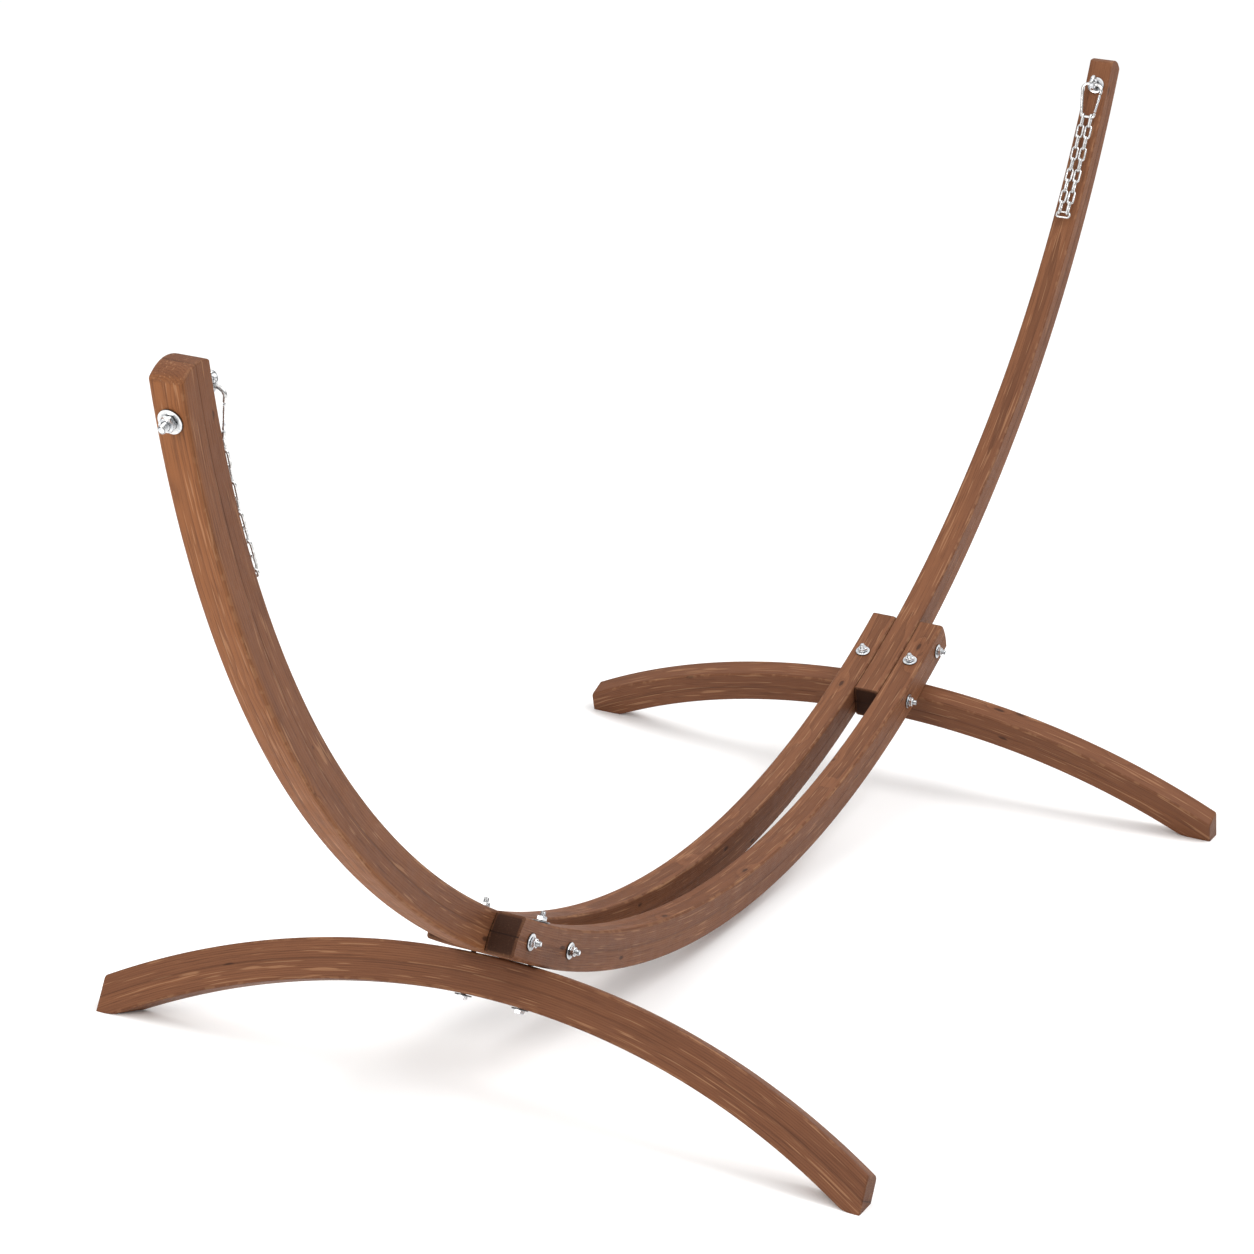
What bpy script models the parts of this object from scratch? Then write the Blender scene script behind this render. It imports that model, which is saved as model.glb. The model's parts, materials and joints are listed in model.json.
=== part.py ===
"""Hammock stand: bent laminated wood arc on two arched feet, with hanging chains.

Metres. +X runs along the stand, +Y across it, +Z up. The floor is z = 0 and the
origin lies on the floor below the middle of the arc.

The arc is one planar curve. Its centreline follows two tangent circles on each
side of the middle: ARC_RADIUS up to arc length BLEND_S, then TIP_RADIUS. Two
parallel middle beams follow it side by side and the two arms are clamped
between their ends, so every inner and outer face is flush.
"""
import math

import bmesh
import bpy
from mathutils import Vector

# ---- driving dimensions -------------------------------------------------
ARC_RADIUS = 1.80          # centreline radius of the middle of the arc
TIP_RADIUS = 1.48          # tighter centreline radius towards the arm tips
BLEND_S = 1.365            # arc length from the middle to the change of radius
HALF_ARC = 2.109           # arc length from the middle to an arm tip
BEAM_DEPTH = 0.059         # wood section in the plane of the arc
BEAM_WIDTH = 0.043         # wood section across the arc
FOOT_DEPTH = 0.058
FOOT_WIDTH = 0.040
FOOT_RADIUS = 1.15         # top face of a foot
FOOT_SPAN = 1.16           # width of a foot over its ends
FLOOR_CUT = 0.030          # height sawn off the lowest corner of a foot
JOINT_S = 0.750            # arc length from the middle to a foot
SIDE_BOLT_HALF_PITCH = 0.070
BEAM_END_REACH = 0.115     # middle beam beyond the foot
ARM_END_REACH = 0.098      # arm inside the foot, towards the middle
EDGE = 0.005               # softened wood edges
TIP_CROWN = 0.038          # rounding of the sawn arm tips
END_CROWN = 0.018          # rounding of the middle beams' ends
END_CROWN_AT = -0.25       # their longest point, as a part of the depth
GAP = 0.00035              # air between touching pieces

CLAMP = {"bolt": 0.004, "bore": 0.0046, "flats": 0.013, "nut": 0.0065,
         "washer": 0.012, "plate": 0.0020, "out": 0.007}          # M8
EYE = {"bolt": 0.005, "bore": 0.0056, "flats": 0.017, "nut": 0.0084,
       "washer": 0.015, "plate": 0.0025, "out": 0.009}            # M10
HEAD_H = 0.0053
FOOT_SEAT_DROP = 0.0009    # lets a flat washer clear the hollow underside of a foot

EYE_S = 2.053              # arc length to the eye bolts
EYE_STANDOFF = 0.022       # inner face to the centre of the eye
EYE_WIRE_R = 0.0038
EYE_RING_R = 0.0065 + EYE_WIRE_R

HOOK_LENGTH = 0.066
HOOK_WIRE_R = 0.0028
HOOK_TOP_HALF = 0.0085     # half the straight wire at the wide end, in the eye
HOOK_TOP_R = 0.0095
HOOK_CORNER_ROOM = 0.0026  # corner radius at the narrow end, beyond a link's wire
GATE_WIRE_R = 0.0024
GATE_START = HOOK_LENGTH * 0.14        # hinge of the gate, along the open leg
GATE_END = HOOK_LENGTH * 0.62

LINK_WIRE_R = 0.0019
LINK_INNER_W = 0.0064
LINK_INNER_L = 0.0210
LINK_MERGE = 0.33 * LINK_WIRE_R        # links of one segment bite into each other
STRAND_HALF = 0.0075       # each strand lies this far from the middle plane
FACE_CLEAR = 0.0125        # chain centreline above the arm's inner face
UPPER_LINKS = 5
LOWER_LINKS = 4
END_LINK_PLAY = 0.0009     # the end link curves, so it needs a little more air

# ---- derived --------------------------------------------------------------
BEAM_Y = BEAM_WIDTH + GAP                  # middle plane of a middle beam
OUTER_Y = BEAM_Y + BEAM_WIDTH / 2          # outer side faces
BEAM_END_S = JOINT_S + BEAM_END_REACH
ARM_START_S = JOINT_S - ARM_END_REACH
HOOK_SPAN = HOOK_LENGTH - 2 * HOOK_WIRE_R
HOOK_CORNER_R = LINK_WIRE_R + HOOK_CORNER_ROOM
LINK_BEND_R = LINK_INNER_W / 2 + LINK_WIRE_R
LINK_HALF_STRAIGHT = LINK_INNER_L / 2 - LINK_INNER_W / 2
LINK_PITCH = LINK_INNER_L + LINK_MERGE
EYE_REST = EYE_RING_R - EYE_WIRE_R - HOOK_WIRE_R - GAP

Y_AXIS = Vector((0, 1, 0))


def arc_angle(s):
    """Slope of the arc at arc length s: s/R, then (s - blend)/r more."""
    if s <= BLEND_S:
        return s / ARC_RADIUS
    return BLEND_S / ARC_RADIUS + (s - BLEND_S) / TIP_RADIUS


def arc_centre(s):
    """Point of the centreline at arc length s, middle of the arc at z = 0."""
    t = arc_angle(min(s, BLEND_S))
    x = ARC_RADIUS * math.sin(t)
    z = ARC_RADIUS * (1 - math.cos(t))
    if s > BLEND_S:
        u = arc_angle(s)
        x += TIP_RADIUS * (math.sin(u) - math.sin(t))
        z += TIP_RADIUS * (math.cos(t) - math.cos(u))
    return x, z


def foot_lowest():
    """Height of the lowest corner of an uncut foot below the arc's middle."""
    t = arc_angle(JOINT_S)
    x, z = arc_centre(JOINT_S)
    half = FOOT_SPAN / 2
    drop = FOOT_RADIUS - math.sqrt((FOOT_RADIUS - FOOT_DEPTH) ** 2 - half ** 2)
    depth = BEAM_DEPTH / 2 + GAP + drop
    return z - depth * math.cos(t) - FOOT_WIDTH / 2 * math.sin(t)


BASE_Z = -(foot_lowest() + FLOOR_CUT)      # lifts the whole arc onto the floor


def frame_at(side, s):
    """Centre point, tangent towards the tip and inward normal of the arc."""
    sign = 1.0
    if s < 0:
        s, sign = -s, -1.0
    t = arc_angle(s)
    x, z = arc_centre(s)
    m = side * sign
    point = Vector((m * x, 0, z + BASE_Z))
    tangent = Vector((m * math.cos(t), 0, math.sin(t))) * sign
    normal = Vector((-m * math.sin(t), 0, math.cos(t)))
    return point, tangent, normal


def arc_point(side, s, inward, y):
    """Point at arc length s, `inward` of the centreline, at height y across."""
    point, _, normal = frame_at(side, s)
    return point + normal * inward + Y_AXIS * y


# ---- scene and materials ----------------------------------------------------
for old in list(bpy.data.objects):
    bpy.data.objects.remove(old)

WOOD_COLOUR = (0.270, 0.110, 0.058, 1.0)
STEEL_COLOUR = (0.62, 0.63, 0.64, 1.0)


def material_for(name, kind):
    mat = bpy.data.materials.new(name + "_" + kind)
    mat.use_nodes = True
    bsdf = mat.node_tree.nodes["Principled BSDF"]
    if kind == "wood":
        bsdf.inputs["Base Color"].default_value = WOOD_COLOUR
        bsdf.inputs["Roughness"].default_value = 0.62
    else:
        bsdf.inputs["Base Color"].default_value = STEEL_COLOUR
        bsdf.inputs["Metallic"].default_value = 1.0
        bsdf.inputs["Roughness"].default_value = 0.28
    return mat


def add_object(name, bm, kind, origin=None, crease=35):
    """Close the node: outward faces, origin, material, smooth shading."""
    bmesh.ops.remove_doubles(bm, verts=bm.verts, dist=1e-7)
    bmesh.ops.recalc_face_normals(bm, faces=bm.faces)
    if origin is not None:
        bmesh.ops.translate(bm, verts=bm.verts, vec=-origin)
    mesh = bpy.data.meshes.new(name)
    bm.to_mesh(mesh)
    bm.free()
    mesh.shade_smooth()
    mesh.set_sharp_from_angle(angle=math.radians(crease))
    mesh.materials.append(material_for(name, kind))
    obj = bpy.data.objects.new(name, mesh)
    bpy.context.scene.collection.objects.link(obj)
    if origin is not None:
        obj.location = origin
    return obj


def combine(bm_a, bm_b, operation):
    """Exact boolean of two meshes, returned as a new mesh."""
    objects = []
    for label, bm in (("first", bm_a), ("second", bm_b)):
        bmesh.ops.recalc_face_normals(bm, faces=bm.faces)
        mesh = bpy.data.meshes.new(label)
        bm.to_mesh(mesh)
        bm.free()
        obj = bpy.data.objects.new(label, mesh)
        bpy.context.scene.collection.objects.link(obj)
        objects.append(obj)
    body, tool = objects
    mod = body.modifiers.new("Boolean", "BOOLEAN")
    mod.operation = operation
    mod.solver = "EXACT"
    mod.object = tool
    tool.hide_render = True
    tool.display_type = "WIRE"
    bpy.context.view_layer.update()
    graph = bpy.context.evaluated_depsgraph_get()
    result = bmesh.new()
    result.from_mesh(body.evaluated_get(graph).to_mesh())
    for obj in objects:
        bpy.data.objects.remove(obj)
    return result


# ---- mesh builders ------------------------------------------------------------
def bridge(bm, loops, close_ends=True):
    """Closed skin through equal rings of points."""
    rings = [[bm.verts.new(p) for p in loop] for loop in loops]
    count = len(rings[0])
    for a, b in zip(rings, rings[1:]):
        for i in range(count):
            j = (i + 1) % count
            bm.faces.new((a[i], a[j], b[j], b[i]))
    if close_ends:
        bm.faces.new(rings[0])
        bm.faces.new(rings[-1])
    return rings


def section(width, depth):
    """Wood section as (across, depth) points, pairs share one depth."""
    hw, hd = width / 2, depth / 2
    across = (hw - EDGE, hw, hw, hw, hw - EDGE)
    depths = (-hd, -hd + EDGE, 0.0, hd - EDGE, hd)
    right = list(zip(across, depths))
    left = [(-a, d) for a, d in reversed(right)]
    return right + left


def cap_strips(bm, ring):
    """Close a section ring with quads between its two sides."""
    n = len(ring)
    for i in range(n // 2 - 1):
        quad = (ring[i], ring[i + 1], ring[n - 2 - i], ring[n - 1 - i])
        bm.faces.new(quad)


def beam_mesh(side, s_start, s_end, y, start_cut, end_cut, stations):
    """Curved beam; a cut (crown, middle) takes crown*(d/depth - middle)^2 off."""
    bm = bmesh.new()
    pts = section(BEAM_WIDTH, BEAM_DEPTH)
    loops = []
    for k in range(stations + 1):
        u = k / stations
        loop = []
        for across, d in pts:
            s0 = s_start + start_cut[0] * (d / BEAM_DEPTH - start_cut[1]) ** 2
            s1 = s_end - end_cut[0] * (d / BEAM_DEPTH - end_cut[1]) ** 2
            loop.append(arc_point(side, s0 + (s1 - s0) * u, d, y + across))
        loops.append(loop)
    rings = bridge(bm, loops, close_ends=False)
    cap_strips(bm, rings[0])
    cap_strips(bm, rings[-1])
    return bm


def foot_point(side, y, depth, across):
    """Foot point: depth below its top arc z = R - sqrt((R - depth)^2 - y^2)."""
    point, tangent, normal = frame_at(side, JOINT_S)
    drop = FOOT_RADIUS - math.sqrt((FOOT_RADIUS - depth) ** 2 - y ** 2)
    down = BEAM_DEPTH / 2 + GAP + drop
    return point - normal * down + tangent * across + Y_AXIS * y


def foot_mesh(side, stations):
    """Arched foot in the tilted plane through the joint, cut flat on the floor."""
    bm = bmesh.new()
    pts = section(FOOT_WIDTH, FOOT_DEPTH)
    loops = []
    for k in range(stations + 1):
        y = FOOT_SPAN * (k / stations - 0.5)
        loops.append([foot_point(side, y, d + FOOT_DEPTH / 2, a) for a, d in pts])
    rings = bridge(bm, loops, close_ends=False)
    cap_strips(bm, rings[0])
    cap_strips(bm, rings[-1])
    everything = bm.verts[:] + bm.edges[:] + bm.faces[:]
    bmesh.ops.bisect_plane(bm, geom=everything, plane_co=(0, 0, 0),
                           plane_no=(0, 0, -1), clear_outer=True)
    open_edges = [e for e in bm.edges if e.is_boundary]
    bmesh.ops.holes_fill(bm, edges=open_edges, sides=0)
    return bm


def cross_axes(axis):
    """Two unit vectors square to an axis and to each other."""
    helper = Y_AXIS if abs(axis.y) < 0.9 else Vector((0, 0, 1))
    u = axis.cross(helper).normalized()
    return u, axis.cross(u).normalized()


def turned(bm, start, axis, profile, sides=12):
    """Solid of rings (distance along axis, radius, hexagonal or round)."""
    u, v = cross_axes(axis)
    loops = []
    for dist, radius, hexed in profile:
        loop = []
        for i in range(sides):
            a = 2 * math.pi * i / sides
            r = radius
            if hexed:
                r = radius / math.cos((a + math.pi / 6) % (math.pi / 3) - math.pi / 6)
            centre = start + axis * dist
            loop.append(centre + u * (r * math.cos(a)) + v * (r * math.sin(a)))
        loops.append(loop)
    return bridge(bm, loops)


def pierced(start, axis, outer_r, bore_r, height, hexed, sides=12):
    """Ring-shaped plate with a clearance hole: washer or nut."""
    bm = bmesh.new()
    u, v = cross_axes(axis)
    rims = []
    for radius, shaped, dist in ((outer_r, hexed, 0), (outer_r, hexed, height),
                                 (bore_r, False, height), (bore_r, False, 0)):
        ring = []
        for i in range(sides):
            a = 2 * math.pi * i / sides
            r = radius
            if shaped:
                r = radius / math.cos((a + math.pi / 6) % (math.pi / 3) - math.pi / 6)
            p = start + axis * dist + u * (r * math.cos(a)) + v * (r * math.sin(a))
            ring.append(bm.verts.new(p))
        rims.append(ring)
    for a, b in zip(rims, rims[1:] + rims[:1]):
        for i in range(sides):
            j = (i + 1) % sides
            bm.faces.new((a[i], a[j], b[j], b[i]))
    return bm


def tube(bm, path, radii, normal, sides=8, closed=False):
    """Round wire along a flat path; `normal` is square to the path's plane."""
    count = len(path)
    loops = []
    for i, p in enumerate(path):
        before = path[i - 1] if (i > 0 or closed) else p
        after = path[(i + 1) % count] if (i < count - 1 or closed) else p
        along = (after - before).normalized()
        outward = along.cross(normal).normalized()
        r = radii if isinstance(radii, float) else radii[i]
        loop = []
        for k in range(sides):
            a = 2 * math.pi * (k + 0.5) / sides
            loop.append(p + outward * (r * math.cos(a)) + normal * (r * math.sin(a)))
        loops.append(loop)
    if closed:
        loops.append(loops[0])
    bridge(bm, loops, close_ends=not closed)


def through_hole(bm, start, axis, length, bore_r=CLAMP["bore"]):
    """Cutter for one bolt hole."""
    turned(bm, start - axis * 0.02, axis,
           ((0, bore_r, False), (length + 0.04, bore_r, False)))


# ---- bolt positions -----------------------------------------------------------
def side_bolts(side):
    """Bolts across the joint: (name, centre on the middle plane)."""
    out = []
    for tag, step in (("lower", -1), ("upper", 1)):
        s = JOINT_S + step * SIDE_BOLT_HALF_PITCH
        out.append((tag, arc_point(side, s, 0.0, 0.0)))
    return out


def foot_bolts(side):
    """Bolts down through a middle beam and the foot: (name, y)."""
    return (("near", -BEAM_Y), ("far", BEAM_Y))


def foot_underside(y):
    drop = FOOT_RADIUS - math.sqrt((FOOT_RADIUS - FOOT_DEPTH) ** 2 - y ** 2)
    return BEAM_DEPTH / 2 + GAP + drop


SIDES = (("left", -1), ("right", 1))

# ---- wood ---------------------------------------------------------------------
for y, tag in ((-BEAM_Y, "near"), (BEAM_Y, "far")):
    body = beam_mesh(1, -BEAM_END_S, BEAM_END_S, y, (END_CROWN, END_CROWN_AT),
                     (END_CROWN, END_CROWN_AT), 40)
    cutter = bmesh.new()
    for _, side in SIDES:
        for _, centre in side_bolts(side):
            start = centre + Y_AXIS * (y - BEAM_WIDTH / 2)
            through_hole(cutter, start, Y_AXIS, BEAM_WIDTH)
        point, _, normal = frame_at(side, JOINT_S)
        start = point - normal * (BEAM_DEPTH / 2) + Y_AXIS * y
        through_hole(cutter, start, normal, BEAM_DEPTH)
    add_object("middle_beam_" + tag, combine(body, cutter, "DIFFERENCE"), "wood")

for name, side in SIDES:
    body = beam_mesh(side, ARM_START_S, HALF_ARC, 0.0, (0.0, 0.0), (TIP_CROWN, 0.0), 34)
    cutter = bmesh.new()
    for _, centre in side_bolts(side):
        start = centre - Y_AXIS * (BEAM_WIDTH / 2)
        through_hole(cutter, start, Y_AXIS, BEAM_WIDTH)
    point, _, normal = frame_at(side, EYE_S)
    through_hole(cutter, point - normal * (BEAM_DEPTH / 2), normal, BEAM_DEPTH,
                 EYE["bore"])
    add_object("arm_" + name, combine(body, cutter, "DIFFERENCE"), "wood")

    body = foot_mesh(side, 30)
    cutter = bmesh.new()
    point, _, normal = frame_at(side, JOINT_S)
    for _, y in foot_bolts(side):
        start = point - normal * (foot_underside(y) + 0.01) + Y_AXIS * y
        through_hole(cutter, start, normal, FOOT_DEPTH + 0.01)
    add_object("foot_" + name, combine(body, cutter, "DIFFERENCE"), "wood")


# ---- clamping bolts -------------------------------------------------------------
def fit_washer(name, seat, axis, size):
    """Washer lying on a seat, on the side that the axis points to."""
    add_object(name, pierced(seat + axis * GAP, axis, size["washer"], size["bore"],
                             size["plate"], False), "steel")
    return seat + axis * (GAP + size["plate"])


def fit_nut(name, seat, axis, size):
    """Hex nut over a washer; returns where the thread may end."""
    add_object(name, pierced(seat + axis * GAP, axis, size["flats"] / 2, size["bore"],
                             size["nut"], True), "steel")
    return seat + axis * (GAP + size["nut"] + size["out"])


def bolt_set(prefix, seat_head, seat_nut, axis):
    """Hex bolt, two washers and a nut; axis runs from head to nut."""
    under = fit_washer(prefix + "_washer_head", seat_head, -axis, CLAMP) - axis * GAP
    over = fit_washer(prefix + "_washer_nut", seat_nut, axis, CLAMP)
    end = (fit_nut(prefix + "_nut", over, axis, CLAMP) - under).length
    bm = bmesh.new()
    head, r = CLAMP["flats"] / 2, CLAMP["bolt"]
    turned(bm, under, axis, (
        (-HEAD_H, head * 0.9, True), (-HEAD_H * 0.85, head, True), (0, head, True),
        (0, r, False), (end - 0.001, r, False), (end, r * 0.75, False)))
    add_object(prefix, bm, "steel")


for name, side in SIDES:
    for tag, centre in side_bolts(side):
        bolt_set("side_bolt_" + name + "_" + tag, centre + Y_AXIS * OUTER_Y,
                 centre - Y_AXIS * OUTER_Y, -Y_AXIS)
    point, _, normal = frame_at(side, JOINT_S)
    for tag, y in foot_bolts(side):
        head_seat = point - normal * (foot_underside(y) + FOOT_SEAT_DROP) + Y_AXIS * y
        nut_seat = point + normal * (BEAM_DEPTH / 2) + Y_AXIS * y
        bolt_set("foot_bolt_" + name + "_" + tag, head_seat, nut_seat, normal)


# ---- eye bolts ------------------------------------------------------------------
def eye_bolt_set(name, side):
    """Eye bolt through an arm, with its ring square to the stand's width."""
    point, tangent, normal = frame_at(side, EYE_S)
    inner = point + normal * (BEAM_DEPTH / 2)
    outer = point - normal * (BEAM_DEPTH / 2)
    centre = inner + normal * EYE_STANDOFF
    ring = bmesh.new()
    path = []
    for i in range(18):
        a = 2 * math.pi * i / 18
        path.append(centre + tangent * (EYE_RING_R * math.cos(a))
                    + normal * (EYE_RING_R * math.sin(a)))
    tube(ring, path, EYE_WIRE_R, Y_AXIS, closed=True)
    fit_washer("eye_washer_inner_" + name, inner, normal, EYE)
    over = fit_washer("eye_washer_outer_" + name, outer, -normal, EYE)
    end = (fit_nut("eye_nut_" + name, over, -normal, EYE) - inner).length
    shank = bmesh.new()
    top = EYE_STANDOFF - EYE_RING_R
    r = EYE["bolt"]
    turned(shank, inner, normal, (
        (-end, r * 0.75, False), (-end + 0.0012, r, False),
        (top - 0.003, r, False), (top + 0.0005, r * 0.7, False)))
    add_object("eye_bolt_" + name, combine(ring, shank, "UNION"), "steel")
    return centre


# ---- snap hooks -------------------------------------------------------------------
def arc_points(cx, cy, radius, a0, a1, count):
    """Points of an arc in hook coordinates (y across, v down)."""
    out = []
    for i in range(count + 1):
        a = a0 + (a1 - a0) * i / count
        out.append((cx + radius * math.cos(a), cy + radius * math.sin(a)))
    return out


def hook_outline():
    """Tangent angle of the legs, and both ends of one leg, in (y, v)."""
    dy = STRAND_HALF - HOOK_TOP_HALF
    dv = HOOK_SPAN - HOOK_CORNER_R - HOOK_TOP_R
    length = math.hypot(dy, dv)
    lean = math.atan2(dy, dv) + math.asin((HOOK_CORNER_R - HOOK_TOP_R) / length)
    # outward normal of the +y leg: turned up by `lean` from +y
    ny, nv = math.cos(lean), -math.sin(lean)
    top = (HOOK_TOP_HALF + HOOK_TOP_R * ny, HOOK_TOP_R + HOOK_TOP_R * nv)
    low = (STRAND_HALF + HOOK_CORNER_R * ny,
           HOOK_SPAN - HOOK_CORNER_R + HOOK_CORNER_R * nv)
    return lean, top, low


def hook_set(name, side, pivot, down):
    """Pear-shaped wire hook with a hinged gate on its -y leg."""
    lean, top, low = hook_outline()
    face = down.cross(Y_AXIS).normalized()

    def place(yv):
        return pivot + Y_AXIS * yv[0] + down * yv[1]

    leg = math.hypot(low[0] - top[0], low[1] - top[1])

    def on_gate_leg(d):
        f = d / leg
        return (-(top[0] + (low[0] - top[0]) * f), top[1] + (low[1] - top[1]) * f)

    flat = []
    flat.append(on_gate_leg(GATE_START - GATE_WIRE_R - GAP))
    flat += arc_points(-HOOK_TOP_HALF, HOOK_TOP_R, HOOK_TOP_R,
                       math.pi + lean, 1.5 * math.pi, 5)
    flat += arc_points(HOOK_TOP_HALF, HOOK_TOP_R, HOOK_TOP_R,
                       1.5 * math.pi, 2 * math.pi - lean, 5)
    flat += arc_points(STRAND_HALF, HOOK_SPAN - HOOK_CORNER_R, HOOK_CORNER_R,
                       -lean, math.pi / 2, 5)
    flat += arc_points(-STRAND_HALF, HOOK_SPAN - HOOK_CORNER_R, HOOK_CORNER_R,
                       math.pi / 2, math.pi + lean, 5)
    flat.append(on_gate_leg(GATE_END + GAP))
    bm = bmesh.new()
    tube(bm, [place(p) for p in flat], HOOK_WIRE_R, face)
    add_object("snap_hook_" + name, bm, "steel", origin=pivot, crease=50)

    hinge = place(on_gate_leg(GATE_START))
    end = place(on_gate_leg(GATE_END))
    along = (end - hinge).normalized()
    r = GATE_WIRE_R
    path = [hinge - along * r, hinge - along * (0.7 * r), hinge, end]
    bm = bmesh.new()
    tube(bm, path, [r * 0.3, r * 0.7, r, r], face)
    add_object("hook_gate_" + name, bm, "steel", origin=hinge, crease=50)
    return pivot + down * HOOK_SPAN


# ---- chains -------------------------------------------------------------------------
def link_path(centre, long_axis, wide_axis):
    """Stadium: two half circles of LINK_BEND_R joined by straights."""
    path = []
    for sign in (1, -1):
        for i in range(5):
            a = math.pi * (i / 4 - 0.5)
            c, s = math.cos(a), math.sin(a)
            path.append(centre + long_axis * (sign * (LINK_HALF_STRAIGHT + LINK_BEND_R * c))
                        + wide_axis * (sign * LINK_BEND_R * s))
    return path


def add_link(bm, centre, long_axis, wide_axis):
    normal = long_axis.cross(wide_axis).normalized()
    tube(bm, link_path(centre, long_axis, wide_axis), LINK_WIRE_R, normal,
         sides=6, closed=True)


def strand(name, start, down, count, first_flat, origin):
    """Links linked in turn; the ones that touch are one solid."""
    face = down.cross(Y_AXIS).normalized()
    parts = (bmesh.new(), bmesh.new())
    for i in range(count):
        flat = (i % 2 == 0) == first_flat
        wide = Y_AXIS if flat else face
        add_link(parts[i % 2], start + down * (LINK_PITCH * i), down, wide)
    add_object(name, combine(parts[0], parts[1], "UNION"), "steel",
               origin=origin, crease=60)
    return start + down * (LINK_PITCH * (count - 1))


def along_face(side, start, reach, clear, s_from):
    """Point at distance `reach` from start, `clear` above the inner face."""
    low, high = s_from - 2.0 * reach, s_from
    for _ in range(60):
        mid = (low + high) / 2
        p = arc_point(side, mid, BEAM_DEPTH / 2 + clear, 0.0)
        if (p - start).length > reach:
            low = mid
        else:
            high = mid
    return arc_point(side, low, BEAM_DEPTH / 2 + clear, 0.0), low


for name, side in SIDES:
    eye = eye_bolt_set(name, side)
    target, s_low = along_face(side, eye, HOOK_SPAN + EYE_REST, FACE_CLEAR, EYE_S)
    down = (target - eye).normalized()
    pivot = eye + down * EYE_REST
    seat = hook_set(name, side, pivot, down)

    first = LINK_HALF_STRAIGHT
    last_gap = LINK_INNER_L / 2 - LINK_WIRE_R - GAP
    upper_len = first + LINK_PITCH * (UPPER_LINKS - 1) + last_gap
    target, s_low = along_face(side, seat, upper_len, FACE_CLEAR, s_low)
    down = (target - seat).normalized()
    fold = seat + down * upper_len
    for tag, y in (("near", -STRAND_HALF), ("far", STRAND_HALF)):
        strand("chain_upper_" + name + "_" + tag, seat + down * first + Y_AXIS * y,
               down, UPPER_LINKS, False, seat)

    start = LINK_INNER_L / 2 + LINK_WIRE_R
    lower_len = start + LINK_PITCH * (LOWER_LINKS - 1) + start
    target, s_low = along_face(side, fold, lower_len, FACE_CLEAR, s_low)
    down = (target - fold).normalized()
    for tag, y in (("near", -STRAND_HALF), ("far", STRAND_HALF)):
        end = strand("chain_lower_" + name + "_" + tag,
                     fold + down * start + Y_AXIS * y, down, LOWER_LINKS, True, fold)
    wire = fold + down * (lower_len - 2 * LINK_WIRE_R - END_LINK_PLAY)
    bm = bmesh.new()
    add_link(bm, wire + down * LINK_BEND_R, Y_AXIS, down)
    add_object("chain_end_link_" + name, bm, "steel", origin=fold, crease=60)
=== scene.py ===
# %% [markdown]
# # A bent-wood hammock stand
#
# Two arms, two parallel middle beams and two arched feet make a boat-shaped
# stand of laminated softwood. Zinc-plated bolts clamp it together, and a snap
# hook with a doubled chain hangs from an eye bolt near the tip of each arm.
# The bodies that move, and where they hinge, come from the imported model; this
# lesson builds what the eye sees on top of them.

# %% Load the frame
import json
import math

import bpy
import mathutils
import numpy as np
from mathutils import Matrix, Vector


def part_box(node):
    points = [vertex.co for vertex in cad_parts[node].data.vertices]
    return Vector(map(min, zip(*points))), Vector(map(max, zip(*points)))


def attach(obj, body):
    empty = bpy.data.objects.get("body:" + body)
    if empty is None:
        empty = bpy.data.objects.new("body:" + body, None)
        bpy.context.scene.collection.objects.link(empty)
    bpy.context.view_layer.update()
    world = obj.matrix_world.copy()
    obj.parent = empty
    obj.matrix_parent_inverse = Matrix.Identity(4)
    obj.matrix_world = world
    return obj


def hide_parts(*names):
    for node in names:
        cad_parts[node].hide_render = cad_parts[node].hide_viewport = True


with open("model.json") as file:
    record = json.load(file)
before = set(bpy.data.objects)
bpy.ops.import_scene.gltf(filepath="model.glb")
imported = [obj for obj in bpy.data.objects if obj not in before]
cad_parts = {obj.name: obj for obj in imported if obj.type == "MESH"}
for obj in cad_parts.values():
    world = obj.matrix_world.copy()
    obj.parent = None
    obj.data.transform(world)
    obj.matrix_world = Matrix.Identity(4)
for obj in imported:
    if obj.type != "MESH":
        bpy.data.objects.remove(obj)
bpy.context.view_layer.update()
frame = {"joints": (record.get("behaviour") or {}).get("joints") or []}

joints = {j["name"]: j for j in frame["joints"]}
print("joints:", ", ".join(joints))

# %% [markdown]
# ## Driving sizes
#
# The arc is one plane curve. Its centreline follows a circle of `ARC_RADIUS`
# out to arc length `BLEND_S`, and a tighter circle of `TIP_RADIUS` from there
# to the tips. Everything made of wood is measured along that line, because
# that is how a laminated beam is made: flat boards are glued over a curved
# form, so lengths belong to the board and not to X or Z.

# %% Sizes of the stand, in metres
ARC_RADIUS, TIP_RADIUS, BLEND_S, HALF_ARC = 1.80, 1.48, 1.365, 2.109
BEAM_DEPTH, BEAM_WIDTH = 0.059, 0.043
FOOT_DEPTH, FOOT_WIDTH, FOOT_RADIUS, FOOT_SPAN = 0.058, 0.040, 1.15, 1.16
FLOOR_CUT, JOINT_S, BOLT_HALF_PITCH = 0.030, 0.750, 0.070
BEAM_END_S, ARM_START_S, EYE_S = JOINT_S + 0.115, JOINT_S - 0.098, 2.053
TIP_CROWN, END_CROWN, END_CROWN_AT = 0.038, 0.018, -0.25
GAP = 0.00035
BEAM_Y = BEAM_WIDTH + GAP
ARRIS = 0.0045            # rounding of the long wood edges
SAWN_ARRIS = 0.0022       # rounding of the sawn ends

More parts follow.
